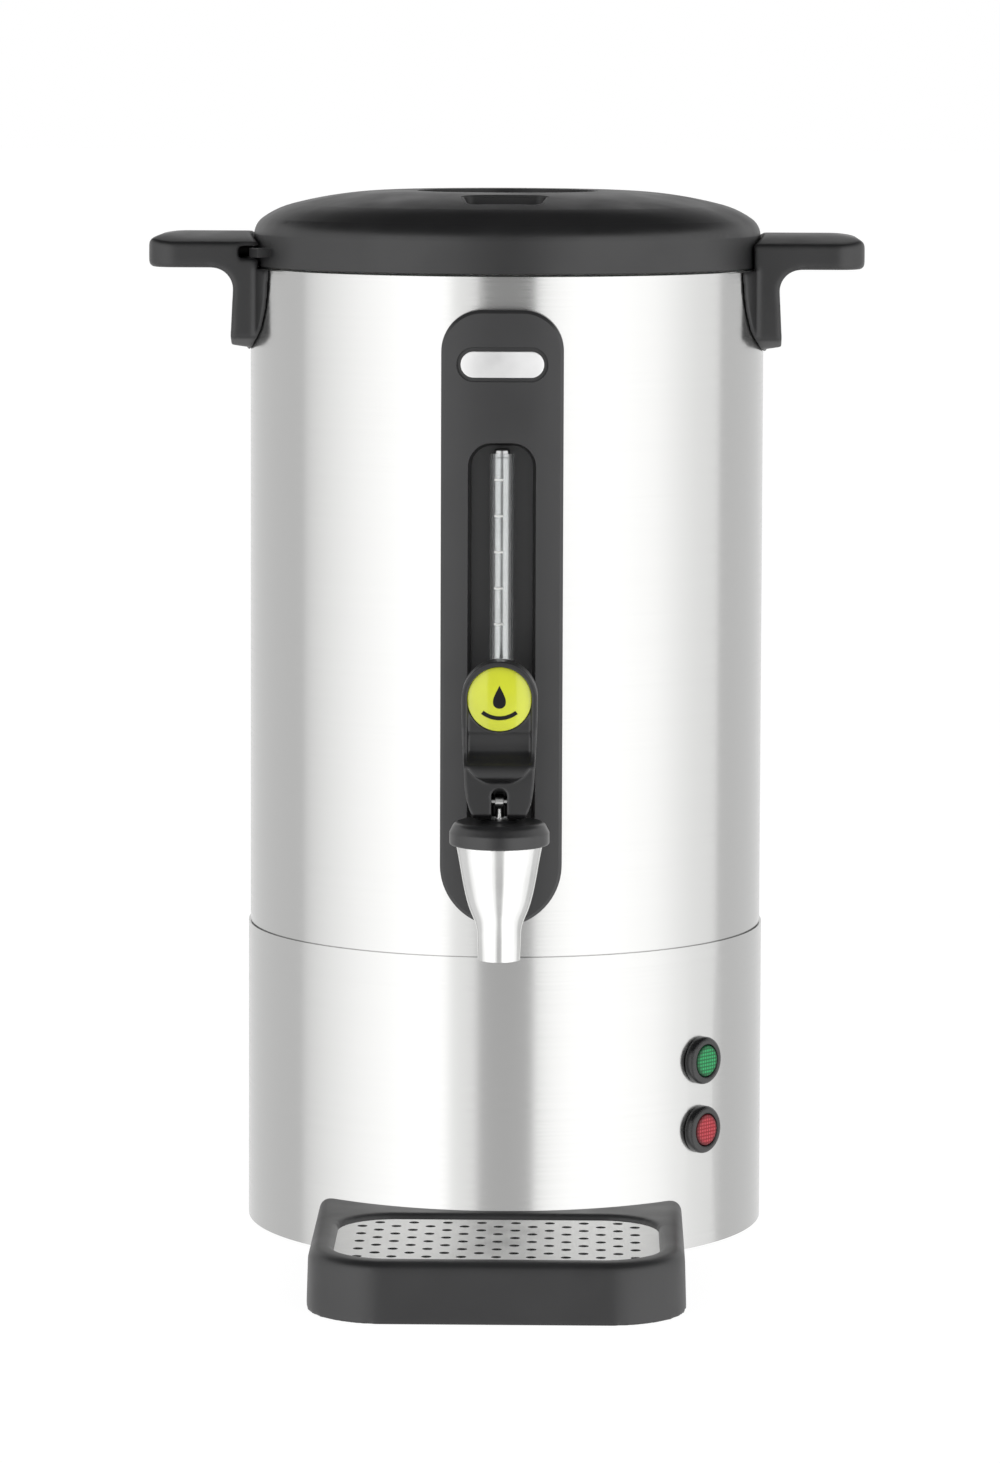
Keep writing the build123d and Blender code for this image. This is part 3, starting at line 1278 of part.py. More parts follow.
with BuildPart() as lamp_nuts:
    for height in lamps.values():
        with BuildSketch(on_wall(lamp_azimuth, height, skirt_r - skirt_wall - lamp_nut_drop)):
            RegularPolygon(lamp_nut_r, 6)
            Circle(lamp_body_r + fit, mode=Mode.SUBTRACT)
        extrude(amount=-lamp_nut_t)
lamp_nuts.part.label = "lamp_nuts"
export_step(lamp_nuts.part.moved(stand_shift), "parts/lamp_nuts.step")

# ---------------------------------------------------------------- rear panel, inlet and switch
blade_places = [(-7, inlet_z - 2), (7, inlet_z - 2), (0, inlet_z + 2)]
with BuildPart() as rear_panel:
    with BuildSketch(Plane.XY.offset(rear_z)):
        with Locations((0, rear_face_y / 2)):
            Rectangle(rear_w, rear_face_y)
        Circle(skirt_r + press_gap, mode=Mode.SUBTRACT)
    extrude(amount=rear_h)
    with BuildSketch(Plane.XZ.offset(-rear_face_y - 5)):
        with Locations((0, rear_z + rear_h / 2)):
            RectangleRounded(rear_w, rear_h, rear_corner)
    extrude(amount=40, mode=Mode.INTERSECT)
    chamfer(rear_panel.faces().sort_by(Axis.Y)[-1].outer_wire().edges(), 1)
    with BuildSketch(Plane.XY.offset(rear_z + 5)):
        with Locations((0, rear_face_y - rear_t / 2)):
            Rectangle(rear_w - 14, rear_t)
    extrude(amount=rear_h - 10)
    with BuildSketch(Plane.XZ.offset(-rear_face_y - 1)):
        with Locations((0, inlet_z)):
            Rectangle(inlet_w + 2 * slip, inlet_h + 2 * slip)
        with Locations((0, switch_z)):
            Rectangle(switch_body_w + 2 * slip, switch_body_h + 2 * slip)
        with Locations((-inlet_screw_pitch / 2, inlet_z), (inlet_screw_pitch / 2, inlet_z)):
            Circle(inlet_screw_r)
    extrude(amount=20, mode=Mode.SUBTRACT)
rear_panel.part.label = "rear_panel"
export_step(rear_panel.part.moved(stand_shift), "parts/rear_panel.step")

rear_out_y = rear_face_y + inlet_t
with BuildPart() as power_inlet:
    with BuildSketch(Plane.XZ.offset(-rear_out_y)):
        with Locations((0, inlet_z)):
            RectangleRounded(inlet_flange_w, inlet_flange_h, 4)
    extrude(amount=inlet_t)
    with BuildSketch(Plane.XZ.offset(-rear_face_y)):
        with Locations((0, inlet_z)):
            Rectangle(inlet_w, inlet_h)
    extrude(amount=inlet_l)
    with BuildSketch(Plane.XZ.offset(-rear_out_y)):
        with Locations((0, inlet_z)):
            Rectangle(socket_w, socket_h)
        chamfer(vertices().group_by(Axis.Y)[-1], 3.5)
    extrude(amount=socket_l, mode=Mode.SUBTRACT)
    with BuildSketch(Plane.XZ.offset(-rear_out_y)):
        with Locations((-inlet_screw_pitch / 2, inlet_z), (inlet_screw_pitch / 2, inlet_z)):
            Circle(inlet_screw_r)
    extrude(amount=inlet_t, mode=Mode.SUBTRACT)
    with BuildSketch(Plane.XZ.offset(-rear_out_y + socket_l)):
        with Locations(*blade_places):
            Rectangle(blade_t, blade_w)
    extrude(amount=inlet_l, mode=Mode.SUBTRACT)
power_inlet.part.label = "power_inlet"
export_step(power_inlet.part.moved(stand_shift), "parts/power_inlet.step")

with BuildPart() as inlet_pins:
    with BuildSketch(Plane.XZ.offset(-rear_out_y + 3)):
        with Locations(*blade_places):
            Rectangle(blade_t, blade_w)
    extrude(amount=inlet_t + inlet_l + 5)
inlet_pins.part.label = "inlet_pins"
export_step(inlet_pins.part.moved(stand_shift), "parts/inlet_pins.step")

inlet_screws = bolt([Plane(origin=(x, rear_out_y, inlet_z), z_dir=(0, -1, 0)).location
                     for x in (-inlet_screw_pitch / 2, inlet_screw_pitch / 2)],
                    inlet_screw_r - fit, inlet_t + rear_t, 2.8, 1.6)
inlet_screws.label = "inlet_screws"
export_step(inlet_screws.moved(stand_shift), "parts/inlet_screws.step")

with BuildPart() as switch_housing:
    with BuildSketch(Plane.XZ.offset(-rear_out_y)):
        with Locations((0, switch_z)):
            RectangleRounded(switch_w, switch_h, 1.5)
    extrude(amount=inlet_t)
    with BuildSketch(Plane.XZ.offset(-rear_face_y)):
        with Locations((0, switch_z)):
            Rectangle(switch_body_w, switch_body_h)
    extrude(amount=switch_l)
    with BuildSketch(Plane.XZ.offset(-rear_out_y)):
        with Locations((0, switch_z)):
            Rectangle(rocker_w + 2 * seat, rocker_h + 2 * seat)
    extrude(amount=switch_cavity, mode=Mode.SUBTRACT)
    with BuildSketch(Plane.YZ.offset(-switch_body_w / 2 - 1)):
        with Locations((rocker_y, switch_z)):
            Circle(rocker_pin_r + fit)
    extrude(amount=switch_body_w + 2, mode=Mode.SUBTRACT)
    with BuildSketch(Plane.XZ.offset(-rear_face_y + switch_l)):
        with GridLocations(6, 0, 3, 1):
            with Locations((0, switch_z)):
                Rectangle(0.8, 4.8)
    extrude(amount=8)
switch_housing.part.label = "switch_housing"
export_step(switch_housing.part.moved(stand_shift), "parts/switch_housing.step")

rocker_side = Plane(origin=(-rocker_w / 2, rocker_y, switch_z), x_dir=(0, cos(tilt), sin(tilt)),
                    z_dir=(1, 0, 0))
with BuildPart() as switch_rocker:
    with BuildSketch(rocker_side):
        with BuildLine():
            Polyline((-4, -rocker_half + 0.8), (rocker_proud, -rocker_half), (rocker_dip, 0),
                     (rocker_proud, rocker_half), (-4, rocker_half - 0.8), close=True)
        make_face()
    extrude(amount=rocker_w)
    with BuildSketch(Plane.YZ.offset(-switch_body_w / 2)):
        with Locations((rocker_y, switch_z)):
            Circle(rocker_pin_r)
    extrude(amount=switch_body_w)
switch_rocker.part.label = "switch_rocker"
export_step(switch_rocker.part.moved(stand_shift), "parts/switch_rocker.step")


def wire(points):
    """Insulated wire along straight runs joined by arcs."""
    bends = [0.4 * min((Vector(*b) - Vector(*a)).length, (Vector(*c) - Vector(*b)).length)
             for a, b, c in zip(points, points[1:], points[2:])]
    with BuildPart() as run:
        with BuildLine():
            path = FilletPolyline(*points, radius=min(bends))
        with BuildSketch(Plane(origin=path @ 0, z_dir=path % 0)):
            Circle(wire_r)
        sweep(path=path)
    return run.part


block_top_z = plate_top_z + block_h
pin_foot_z = heater_low_z - cold_pin_l - 6
tab_foot_z = floor_under_z - stat_h - tab_l
blade_end_y = rear_out_y - 3 - inlet_t - inlet_l - 5
second_pin = Rot(0, 0, -element_gap) * Pos(element_ring_r, 0, 0)
stat_x = stat_ring_r * cos(radians(stat_azimuth))
stat_y = stat_ring_r * sin(radians(stat_azimuth))
block_x = block_w / 3
back_row_y = block_y + block_d / 4
front_row_y = block_y - block_d / 4
routes = [
    [(-7, blade_end_y, inlet_z - 2), (-7, blade_end_y - 9, inlet_z - 2), (-block_x, back_row_y, inlet_z - 22),
     (-block_x, back_row_y, block_top_z)],
    [(7, blade_end_y, inlet_z - 2), (7, blade_end_y - 9, inlet_z - 2), (block_x, back_row_y, inlet_z - 22),
     (block_x, back_row_y, block_top_z)],
    [(0, front_row_y, block_top_z), (0, front_row_y, 40), (-30, 10, 80), (stat_x - 2.6, stat_y + 3.7, 110),
     (stat_x - 2.6, stat_y + 3.7, tab_foot_z)],
    [(block_x, front_row_y, block_top_z), (block_x, front_row_y, 45), (second_pin.position.X, 10, 80),
     (second_pin.position.X, second_pin.position.Y, 95),
     (second_pin.position.X, second_pin.position.Y, pin_foot_z)],
]
with BuildPart() as internal_wires:
    for route in routes:
        add(wire(route))
internal_wires.part.label = "internal_wires"
export_step(internal_wires.part.moved(stand_shift), "parts/internal_wires.step")
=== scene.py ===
import math

import bmesh
import bpy
from mathutils import Matrix, Vector


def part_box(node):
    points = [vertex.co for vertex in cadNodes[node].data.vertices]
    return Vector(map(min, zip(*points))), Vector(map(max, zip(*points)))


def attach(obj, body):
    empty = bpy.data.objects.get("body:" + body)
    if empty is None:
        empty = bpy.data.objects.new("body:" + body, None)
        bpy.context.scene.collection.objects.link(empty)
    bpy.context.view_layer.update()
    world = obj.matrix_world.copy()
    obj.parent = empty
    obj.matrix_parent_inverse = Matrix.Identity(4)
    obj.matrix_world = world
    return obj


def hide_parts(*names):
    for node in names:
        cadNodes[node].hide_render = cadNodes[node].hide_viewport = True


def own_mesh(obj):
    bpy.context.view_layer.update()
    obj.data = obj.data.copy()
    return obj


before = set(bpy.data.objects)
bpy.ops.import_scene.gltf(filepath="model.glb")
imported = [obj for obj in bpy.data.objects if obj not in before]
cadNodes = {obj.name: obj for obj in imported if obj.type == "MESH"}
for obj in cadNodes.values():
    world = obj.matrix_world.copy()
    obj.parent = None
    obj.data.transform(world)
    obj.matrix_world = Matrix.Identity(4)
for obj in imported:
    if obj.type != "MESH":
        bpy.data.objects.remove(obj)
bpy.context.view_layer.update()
scene = bpy.context.scene
scene.view_settings.view_transform = "Standard"
tankLow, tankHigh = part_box("tank")
axisY = tankLow.y + (tankHigh.x - tankLow.x) / 2  # the tank's axis, the front is -Y
print("frame loaded:", len(cadNodes), "nodes, tank axis at y", round(axisY, 4))


# One sRGB hex value to a linear colour, made darker or lighter by a share
def hexColour(code, share=1.0):
    parts = [int(code[i:i + 2], 16) / 255 for i in (1, 3, 5)]
    linear = [v / 12.92 if v <= 0.04045 else ((v + 0.055) / 1.055) ** 2.4 for v in parts]
    return [min(1.0, value * share) for value in linear] + [1.0]


# Adds a node; a setting or link is named by its socket's name or number, or by the node's property
def addNode(tree, kind, settings=None, links=None):
    node = tree.nodes.new("ShaderNode" + kind)
    for name, value in (settings or {}).items():
        if isinstance(name, str) and hasattr(node, name):
            setattr(node, name, value)
        else:
            node.inputs[name].default_value = value
    for name, source in (links or {}).items():
        tree.links.new(source, node.inputs[name])
    return node


mixFactor, mixFirst, mixSecond, mixResult = 0, 6, 7, 2  # a colour Mix node's sockets, and its result's


def emptyMaterial(name):
    material = bpy.data.materials.new(name)
    material.use_nodes = True
    material.node_tree.nodes.clear()
    return material, material.node_tree


def newMaterial(name):
    material, tree = emptyMaterial(name)
    shader = addNode(tree, "BsdfPrincipled")
    addNode(tree, "OutputMaterial", links={"Surface": shader.outputs[0]})
    return material, tree, shader


def setShader(shader, **settings):
    for name, value in settings.items():
        shader.inputs[name.replace("_", " ")].default_value = value


def dress(material, *names):
    for name in names:
        slots = cadNodes[name].data.materials
        slots.clear()
        slots.append(material)


# Camera: in front of the urn, a little above the lid and pitched down
cameraSet = {"distance": 2.4255, "height": 0.4996, "azimuth": 0.9, "pitch": 4.553, "roll": -0.2,
             "lens": 138.77, "sensorWidth": 36, "shiftY": -0.15, "aimX": -0.00345, "clipEnd": 50}

turn = math.radians(cameraSet["azimuth"])
sideways = Vector((math.cos(turn), math.sin(turn), 0))
cameraData = bpy.data.cameras.new("photoCamera")
cameraData.lens = cameraSet["lens"]
cameraData.sensor_width = cameraSet["sensorWidth"]
cameraData.shift_y = cameraSet["shiftY"]
cameraData.clip_end = cameraSet["clipEnd"]
camera = bpy.data.objects.new("photoCamera", cameraData)
scene.collection.objects.link(camera)
away = Vector((math.sin(turn), -math.cos(turn), 0)) * cameraSet["distance"]
camera.location = Vector((0, axisY, cameraSet["height"])) + away
aim = Vector((0, axisY, 0)) + sideways * cameraSet["aimX"]
heading = aim - camera.location
yaw = math.atan2(-heading.x, heading.y)
camera.rotation_mode = "XYZ"
camera.rotation_euler = (math.radians(90 - cameraSet["pitch"]), math.radians(cameraSet["roll"]), yaw)
scene.camera = camera
print("camera set")


# Studio: white paper sweep, two tall softboxes round the front and a dark gap between them
studioSet = {"floorSize": 60.0, "floorColour": "#F4F4F4", "floorGlow": 0.86, "paperStrength": 1.08,
             "worldDiffuse": 0.62, "worldGloss": 0.9, "cardDiffuse": 0.55,  # the last is a share
             "boxRadius": 1.7, "boxLow": -4.0, "boxHigh": 2.6, "cardSteps": 24,
             "leftBox": (-98, -10.6), "rightBox": (13.0, 108), "gap": (-12, 14), "gapSetback": 0.1,
             "gapHigh": (0.30, 0.42), "gapLow": (-0.13, 0.78),  # height and strength of the gap's two ends
             "ceilingHeight": 1.3, "ceilingRadius": 1.66, "ceilingGlow": 0.03, "ceilingSegments": 64,
             "rampFull": 4.0}  # the strength that white stands for in a ramp

world = bpy.data.worlds.new("studioWorld")
scene.world = world
world.use_nodes = True
tree = world.node_tree
tree.nodes.clear()
path = addNode(tree, "LightPath")
mirrored = addNode(tree, "MapRange",
                   {"To Min": studioSet["worldDiffuse"], "To Max": studioSet["worldGloss"]},
                   {"Value": path.outputs["Is Glossy Ray"]})
seen = addNode(tree, "Math", {"operation": "MAXIMUM"},
               {0: path.outputs["Is Camera Ray"], 1: path.outputs["Is Transmission Ray"]})
level = addNode(tree, "Math", {"operation": "MAXIMUM"}, {0: mirrored.outputs[0], 1: seen.outputs[0]})
sky = addNode(tree, "Background", {"Color": hexColour("#FFFFFF")}, {"Strength": level.outputs[0]})
addNode(tree, "OutputWorld", links={"Surface": sky.outputs[0]})

floorMesh = bpy.data.meshes.new("studioFloor")
shape = bmesh.new()
bmesh.ops.create_grid(shape, x_segments=1, y_segments=1, size=studioSet["floorSize"] / 2)
shape.to_mesh(floorMesh)
shape.free()
floor = bpy.data.objects.new("studioFloor", floorMesh)
scene.collection.objects.link(floor)
floor.visible_glossy = False
floorLook, tree = emptyMaterial("whitePaperSweep")
paper = addNode(tree, "BsdfPrincipled")
setShader(paper, Base_Color=hexColour(studioSet["floorColour"]), Roughness=1.0, Specular_IOR_Level=0.0)
glow = addNode(tree, "Emission", {"Color": hexColour("#FFFFFF"), "Strength": studioSet["paperStrength"]})
path = addNode(tree, "LightPath")
share = addNode(tree, "Math", {"operation": "MULTIPLY", 1: studioSet["floorGlow"]},
                {0: path.outputs["Is Camera Ray"]})
both = addNode(tree, "MixShader", links={0: share.outputs[0], 1: paper.outputs[0], 2: glow.outputs[0]})
addNode(tree, "OutputMaterial", links={"Surface": both.outputs[0]})
floorMesh.materials.append(floorLook)


# Turns a finished bmesh into a card that lights the urn but isn't seen itself
def stageCard(name, shape, look):
    mesh = bpy.data.meshes.new(name)
    shape.to_mesh(mesh)
    shape.free()
    mesh.materials.append(look)
    card = bpy.data.objects.new(name, mesh)
    scene.collection.objects.link(card)
    card.visible_camera = False
    card.visible_shadow = False
    return card


# Upright curved card round the tank's axis between two azimuths, 0 being the front and + towards +X
def curvedCard(name, first, last, radius, look):
    shape = bmesh.new()
    start = Vector((radius * math.sin(math.radians(first)), -radius * math.cos(math.radians(first)), 0))
    low = shape.verts.new(start + Vector((0, axisY, studioSet["boxLow"])))
    high = shape.verts.new(start + Vector((0, axisY, studioSet["boxHigh"])))
    edge = shape.edges.new((low, high))
    bmesh.ops.spin(shape, geom=[low, high, edge], cent=(0, axisY, 0), axis=(0, 0, 1),
                   angle=math.radians(last - first), steps=studioSet["cardSteps"], use_merge=False)
    return stageCard(name, shape, look)


# Emission whose strength follows a ramp along a value from 0 to 1; diffuse rays see a share of it
def rampGlow(tree, along, stops, diffuseShare=1.0):
    full = studioSet["rampFull"]
    ramp = addNode(tree, "ValToRGB", links={0: along})
    marks = ramp.color_ramp.elements
    while len(marks) < len(stops):
        marks.new(0.5)
    for mark, (place, strength) in zip(marks, stops):
        mark.position = place
        mark.color = (strength / full, strength / full, strength / full, 1)
    path = addNode(tree, "LightPath")
    share = addNode(tree, "MapRange", {"To Min": full, "To Max": full * diffuseShare},
                    {"Value": path.outputs["Is Diffuse Ray"]})
    strength = addNode(tree, "Math", {"operation": "MULTIPLY"}, {0: ramp.outputs[0], 1: share.outputs[0]})
    glow = addNode(tree, "Emission", {"Color": hexColour("#FFFFFF")}, {"Strength": strength.outputs[0]})
    addNode(tree, "OutputMaterial", links={"Surface": glow.outputs[0]})


# Softbox cloth: its strength changes with the azimuth in degrees, brightest at the front quarters
clothGlow = {-98: 1.12, -90: 1.34, -82: 1.50, -74: 1.64, -66: 1.78, -55: 1.92, -40: 2.1, -24.5: 2.1,
             -21.5: 1.48, -10.6: 1.46, 13: 1.55, 20: 1.85, 30: 2.05, 50: 2.05, 68: 1.90, 76: 1.74,
             84: 1.58, 92: 1.45, 108: 1.34}
softboxLook, tree = emptyMaterial("softboxCloth")
place = addNode(tree, "TexCoord")
split = addNode(tree, "SeparateXYZ", links={0: place.outputs["Object"]})
fromAxis = addNode(tree, "Math", {"operation": "SUBTRACT", 1: axisY}, {0: split.outputs["Y"]})
forward = addNode(tree, "Math", {"operation": "MULTIPLY", 1: -1}, {0: fromAxis.outputs[0]})
azimuth = addNode(tree, "Math", {"operation": "ARCTAN2"}, {0: split.outputs["X"], 1: forward.outputs[0]})
along = addNode(tree, "MapRange", {"From Min": -math.pi, "From Max": math.pi},
                {"Value": azimuth.outputs[0]})
rampGlow(tree, along.outputs[0],
         [((degrees + 180) / 360, strength) for degrees, strength in clothGlow.items()],
         studioSet["cardDiffuse"])

# Dark gap between the softboxes, lighter towards the table
gapLook, tree = emptyMaterial("darkGap")
place = addNode(tree, "TexCoord")
split = addNode(tree, "SeparateXYZ", links={0: place.outputs["Object"]})
(gapTop, gapTopGlow), (gapFoot, gapFootGlow) = studioSet["gapHigh"], studioSet["gapLow"]
along = addNode(tree, "MapRange", {"From Min": gapFoot, "From Max": gapTop}, {"Value": split.outputs["Z"]})
rampGlow(tree, along.outputs[0], [(0.0, gapFootGlow), (1.0, gapTopGlow)])

boxRadius = studioSet["boxRadius"]
for cardName, (first, last), look, radius in (
        ("softboxLeft", studioSet["leftBox"], softboxLook, boxRadius),
        ("softboxRight", studioSet["rightBox"], softboxLook, boxRadius),
        ("gapCard", studioSet["gap"], gapLook, boxRadius + studioSet["gapSetback"])):
    curvedCard(cardName, first, last, radius, look)

# Dark ceiling that only mirror rays see, for the deep band along the lid's crown
ceilingLook, tree = emptyMaterial("unlitCeiling")
dim = addNode(tree, "Emission", {"Color": hexColour("#FFFFFF"), "Strength": studioSet["ceilingGlow"]})
addNode(tree, "OutputMaterial", links={"Surface": dim.outputs[0]})
shape = bmesh.new()
bmesh.ops.create_circle(shape, cap_ends=True, segments=studioSet["ceilingSegments"],
                        radius=studioSet["ceilingRadius"],
                        matrix=Matrix.Translation((0, axisY, studioSet["ceilingHeight"])))
ceiling = stageCard("ceilingCard", shape, ceilingLook)
ceiling.visible_diffuse = False
ceiling.visible_transmission = False
print("studio set")


# What most finishes share: a cloud that varies tone and gloss, fine grain and softly rounded edges
finishSet = {"toneShare": 0.08, "glossShare": 0.12, "metalGlossShare": 0.22, "cloudMm": 22,
             "cloudDetail": 4.0, "edgeMm": 0.45, "edgeSamples": 4, "plasticIor": 1.54}
grainSet = {"grainMm": 0.35, "detail": 2.0, "depthMm": 0.02, "strength": 0.3}
noiseRange = {"From Min": 0.3, "From Max": 0.7}  # where nearly all of a noise texture's values lie


def cloudy(tree, shader, colour, roughness, spread=finishSet["glossShare"]):
    place = addNode(tree, "TexCoord")
    cloud = addNode(tree, "TexNoise",
                    {"Scale": 1000 / finishSet["cloudMm"], "Detail": finishSet["cloudDetail"]},
                    {"Vector": place.outputs["Object"]})
    amount = addNode(tree, "MapRange", noiseRange, {"Value": cloud.outputs[0]})
    tone = addNode(tree, "Mix", {"data_type": "RGBA", mixFirst: hexColour(colour, 1 - finishSet["toneShare"]),
                                 mixSecond: hexColour(colour, 1 + finishSet["toneShare"])},
                   {mixFactor: amount.outputs[0]})
    gloss = addNode(tree, "MapRange",
                    {"To Min": roughness * (1 - spread), "To Max": roughness * (1 + spread)},
                    {"Value": amount.outputs[0]})
    tree.links.new(tone.outputs[mixResult], shader.inputs["Base Color"])
    tree.links.new(gloss.outputs[0], shader.inputs["Roughness"])
    return place, tone


def grainBump(tree, shader, place, strength, edgeMm):
    grit = addNode(tree, "TexNoise", {"Scale": 1000 / grainSet["grainMm"], "Detail": grainSet["detail"]},
                   {"Vector": place.outputs["Object"]})
    edge = addNode(tree, "Bevel", {"samples": finishSet["edgeSamples"], "Radius": edgeMm / 1000})
    bump = addNode(tree, "Bump", {"Strength": strength, "Distance": grainSet["depthMm"] / 1000},
                   {"Height": grit.outputs[0], "Normal": edge.outputs[0]})
    tree.links.new(bump.outputs[0], shader.inputs["Normal"])


# Moulded plastics and rubbers from a spark-eroded mould: fine even grain, soft sheen, rounded edges
def moulded(name, colour, roughness, grain=1.0, edgeMm=finishSet["edgeMm"], **sockets):
    material, tree, shader = newMaterial(name)
    setShader(shader, IOR=finishSet["plasticIor"], **sockets)
    place, _ = cloudy(tree, shader, colour, roughness)
    grainBump(tree, shader, place, grainSet["strength"] * grain, edgeMm)
    return material


# Plated, polished or cast metal: the gloss varies softly and edges catch the light
def plainMetal(name, colour, roughness, grain=0.0):
    material, tree, shader = newMaterial(name)
    setShader(shader, Metallic=1.0)
    place, _ = cloudy(tree, shader, colour, roughness, finishSet["metalGlossShare"])
    grainBump(tree, shader, place, grain, finishSet["edgeMm"])
    return material


# AISI 304 sheet brushed round the body with a fine belt: highlights stretch upwards, faint lines run
# round, and the weld is a duller line up the back
steelSet = {"colour": "#BDBDBC", "roughness": 0.20, "anisotropic": 0.6, "anisotropicTurn": 0.25,
            "lineMm": 0.8, "lineLengthMm": 220, "lineDetail": 3.0, "lineRoughness": 0.6, "lineStrength": 0.5,
            "depthMm": 0.005, "glossSpread": 0.04, "seamHalfMm": 0.7, "seamGloss": 0.22}
tankSteel, tree, shader = newMaterial("brushedStainlessTank")
setShader(shader, Base_Color=hexColour(steelSet["colour"]), Metallic=1.0, Roughness=steelSet["roughness"],
          Anisotropic=steelSet["anisotropic"], Anisotropic_Rotation=steelSet["anisotropicTurn"])
place = addNode(tree, "TexCoord")
across, along = 1000 / steelSet["lineMm"], 1000 / steelSet["lineLengthMm"]
stretch = addNode(tree, "Mapping", {"Scale": (along, along, across)}, {"Vector": place.outputs["Object"]})
lines = addNode(tree, "TexNoise", {"Scale": 1.0, "Detail": steelSet["lineDetail"],
                                   "Roughness": steelSet["lineRoughness"]}, {"Vector": stretch.outputs[0]})
gloss = addNode(tree, "MapRange", {**noiseRange, "To Min": steelSet["roughness"] - steelSet["glossSpread"],
                                   "To Max": steelSet["roughness"] + steelSet["glossSpread"]},
                {"Value": lines.outputs[0]})
split = addNode(tree, "SeparateXYZ", links={0: place.outputs["Object"]})
beside = addNode(tree, "Math", {"operation": "ABSOLUTE"}, {0: split.outputs["X"]})
welded = addNode(tree, "Math", {"operation": "LESS_THAN", 1: steelSet["seamHalfMm"] / 1000},
                 {0: beside.outputs[0]})
behind = addNode(tree, "Math", {"operation": "GREATER_THAN", 1: axisY}, {0: split.outputs["Y"]})
seam = addNode(tree, "Math", {"operation": "MULTIPLY"}, {0: welded.outputs[0], 1: behind.outputs[0]})
rougher = addNode(tree, "Math", {"operation": "MULTIPLY_ADD", 1: steelSet["seamGloss"]},
                  {0: seam.outputs[0], 2: gloss.outputs[0]})
bump = addNode(tree, "Bump", {"Strength": steelSet["lineStrength"], "Distance": steelSet["depthMm"] / 1000},
               {"Height": lines.outputs[0]})
around = addNode(tree, "Tangent", {"direction_type": "RADIAL", "axis": "Z"})
tree.links.new(rougher.outputs[0], shader.inputs["Roughness"])
tree.links.new(bump.outputs[0], shader.inputs["Normal"])
tree.links.new(around.outputs[0], shader.inputs["Tangent"])
dress(tankSteel, "tank", "base_skirt")
sheetSteel = plainMetal("stainlessSheet", "#C2C2C1", roughness=0.3, grain=0.05)  # plain rolled sheet, satin
dress(sheetSteel, "base_plate", "base_screws", "sensor_straps", "panel_screws", "handle_screws",
      "lid_inner_pan", "lid_screws", "percolator_tube", "filter_basket", "spreader_lid", "inlet_screws",
      "heater_element", "keep_warm_element")

# Punched stainless plate: a bright satin face, with painted shade darkening the holes' walls
gridSet = {"colour": "#EDEDEC", "roughness": 0.5, "wall": "#2A2A2A", "flatFrom": 0.4, "flatTo": 0.9}
gridSteel, tree, shader = newMaterial("punchedGridSteel")
setShader(shader, Metallic=1.0)
_, tone = cloudy(tree, shader, gridSet["colour"], gridSet["roughness"])
# painted shade: every face that doesn't face up gets the dark colour that stands for the shade down the holes
facing = addNode(tree, "NewGeometry")
split = addNode(tree, "SeparateXYZ", links={0: facing.outputs["True Normal"]})
flat = addNode(tree, "MapRange", {"From Min": gridSet["flatFrom"], "From Max": gridSet["flatTo"]},
               {"Value": split.outputs["Z"]})
walled = addNode(tree, "Mix", {"data_type": "RGBA", mixFirst: hexColour(gridSet["wall"])},
                 {mixFactor: flat.outputs[0], mixSecond: tone.outputs[mixResult]})
tree.links.new(walled.outputs[mixResult], shader.inputs["Base Color"])
dress(gridSteel, "drip_grid")

# ABS and nylon mouldings, matt to glossy; the handles and the tray have the roundest edges
dress(moulded("mouldedAbsPanel", "#262627", roughness=0.42), "front_panel", "rear_panel")
dress(moulded("mouldedAbsBlack", "#181819", roughness=0.42), "lid_shell", "lid_grip", "lid_vent",
      "coupling_nut")
dress(moulded("mouldedAbsHandle", "#1A1A1B", roughness=0.40, edgeMm=2.6), "handle_left", "handle_right")
dress(moulded("mouldedAbsTray", "#202021", roughness=0.42, edgeMm=1.8), "tray_body")
dress(moulded("mouldedNylonLever", "#1D1D1E", roughness=0.33, grain=0.5, edgeMm=1.0), "tap_lever",
      "tap_bonnet")
dress(moulded("mouldedGlossBlack", "#141415", roughness=0.26, grain=0.3, edgeMm=1.5), "power_inlet",
      "switch_housing", "switch_rocker", "lamp_bezel_green", "lamp_bezel_red", "lamp_nuts")

# Metals: polished plating is a near mirror, the badge is satin, castings are dull and grainy
dress(plainMetal("polishedChrome", "#D2D2D1", roughness=0.18), "tap_body", "tap_stem", "lever_pin",
      "gauge_tee")
dress(plainMetal("satinAluminium", "#DCDCDC", roughness=0.38), "badge_plate")
dress(plainMetal("nickelPlatedBrass", "#C9BFA4", roughness=0.25), "tap_shank", "shank_nut", "inlet_pins")
dress(plainMetal("castAluminium", "#A9AAAC", roughness=0.5, grain=0.5), "heater_block")
# satin aluminium for the gauge's plug, and for the rod that paints the bore's reflection
plugAndSheenMetal = plainMetal("aluminiumPlugAndBoreSheen", "#A2A2A2", roughness=0.2)

# Rubbers, ceramic and wire insulation
dress(moulded("siliconeRubber", "#D2D2CC", roughness=0.55, grain=0.4, Subsurface_Weight=0.15),
      "gauge_seal", "seat_cup", "outer_washer", "inner_washer", "lid_seal")
dress(moulded("glazedCeramic", "#E9E6DE", roughness=0.3, grain=0.2), "terminal_block", "thermostat",
      "thermal_cutout")
dress(moulded("blackRubber", "#1B1B1B", roughness=0.75, grain=2.0), "feet")
dress(moulded("siliconeWire", "#D9D6CF", roughness=0.5, grain=0.3), "internal_wires")

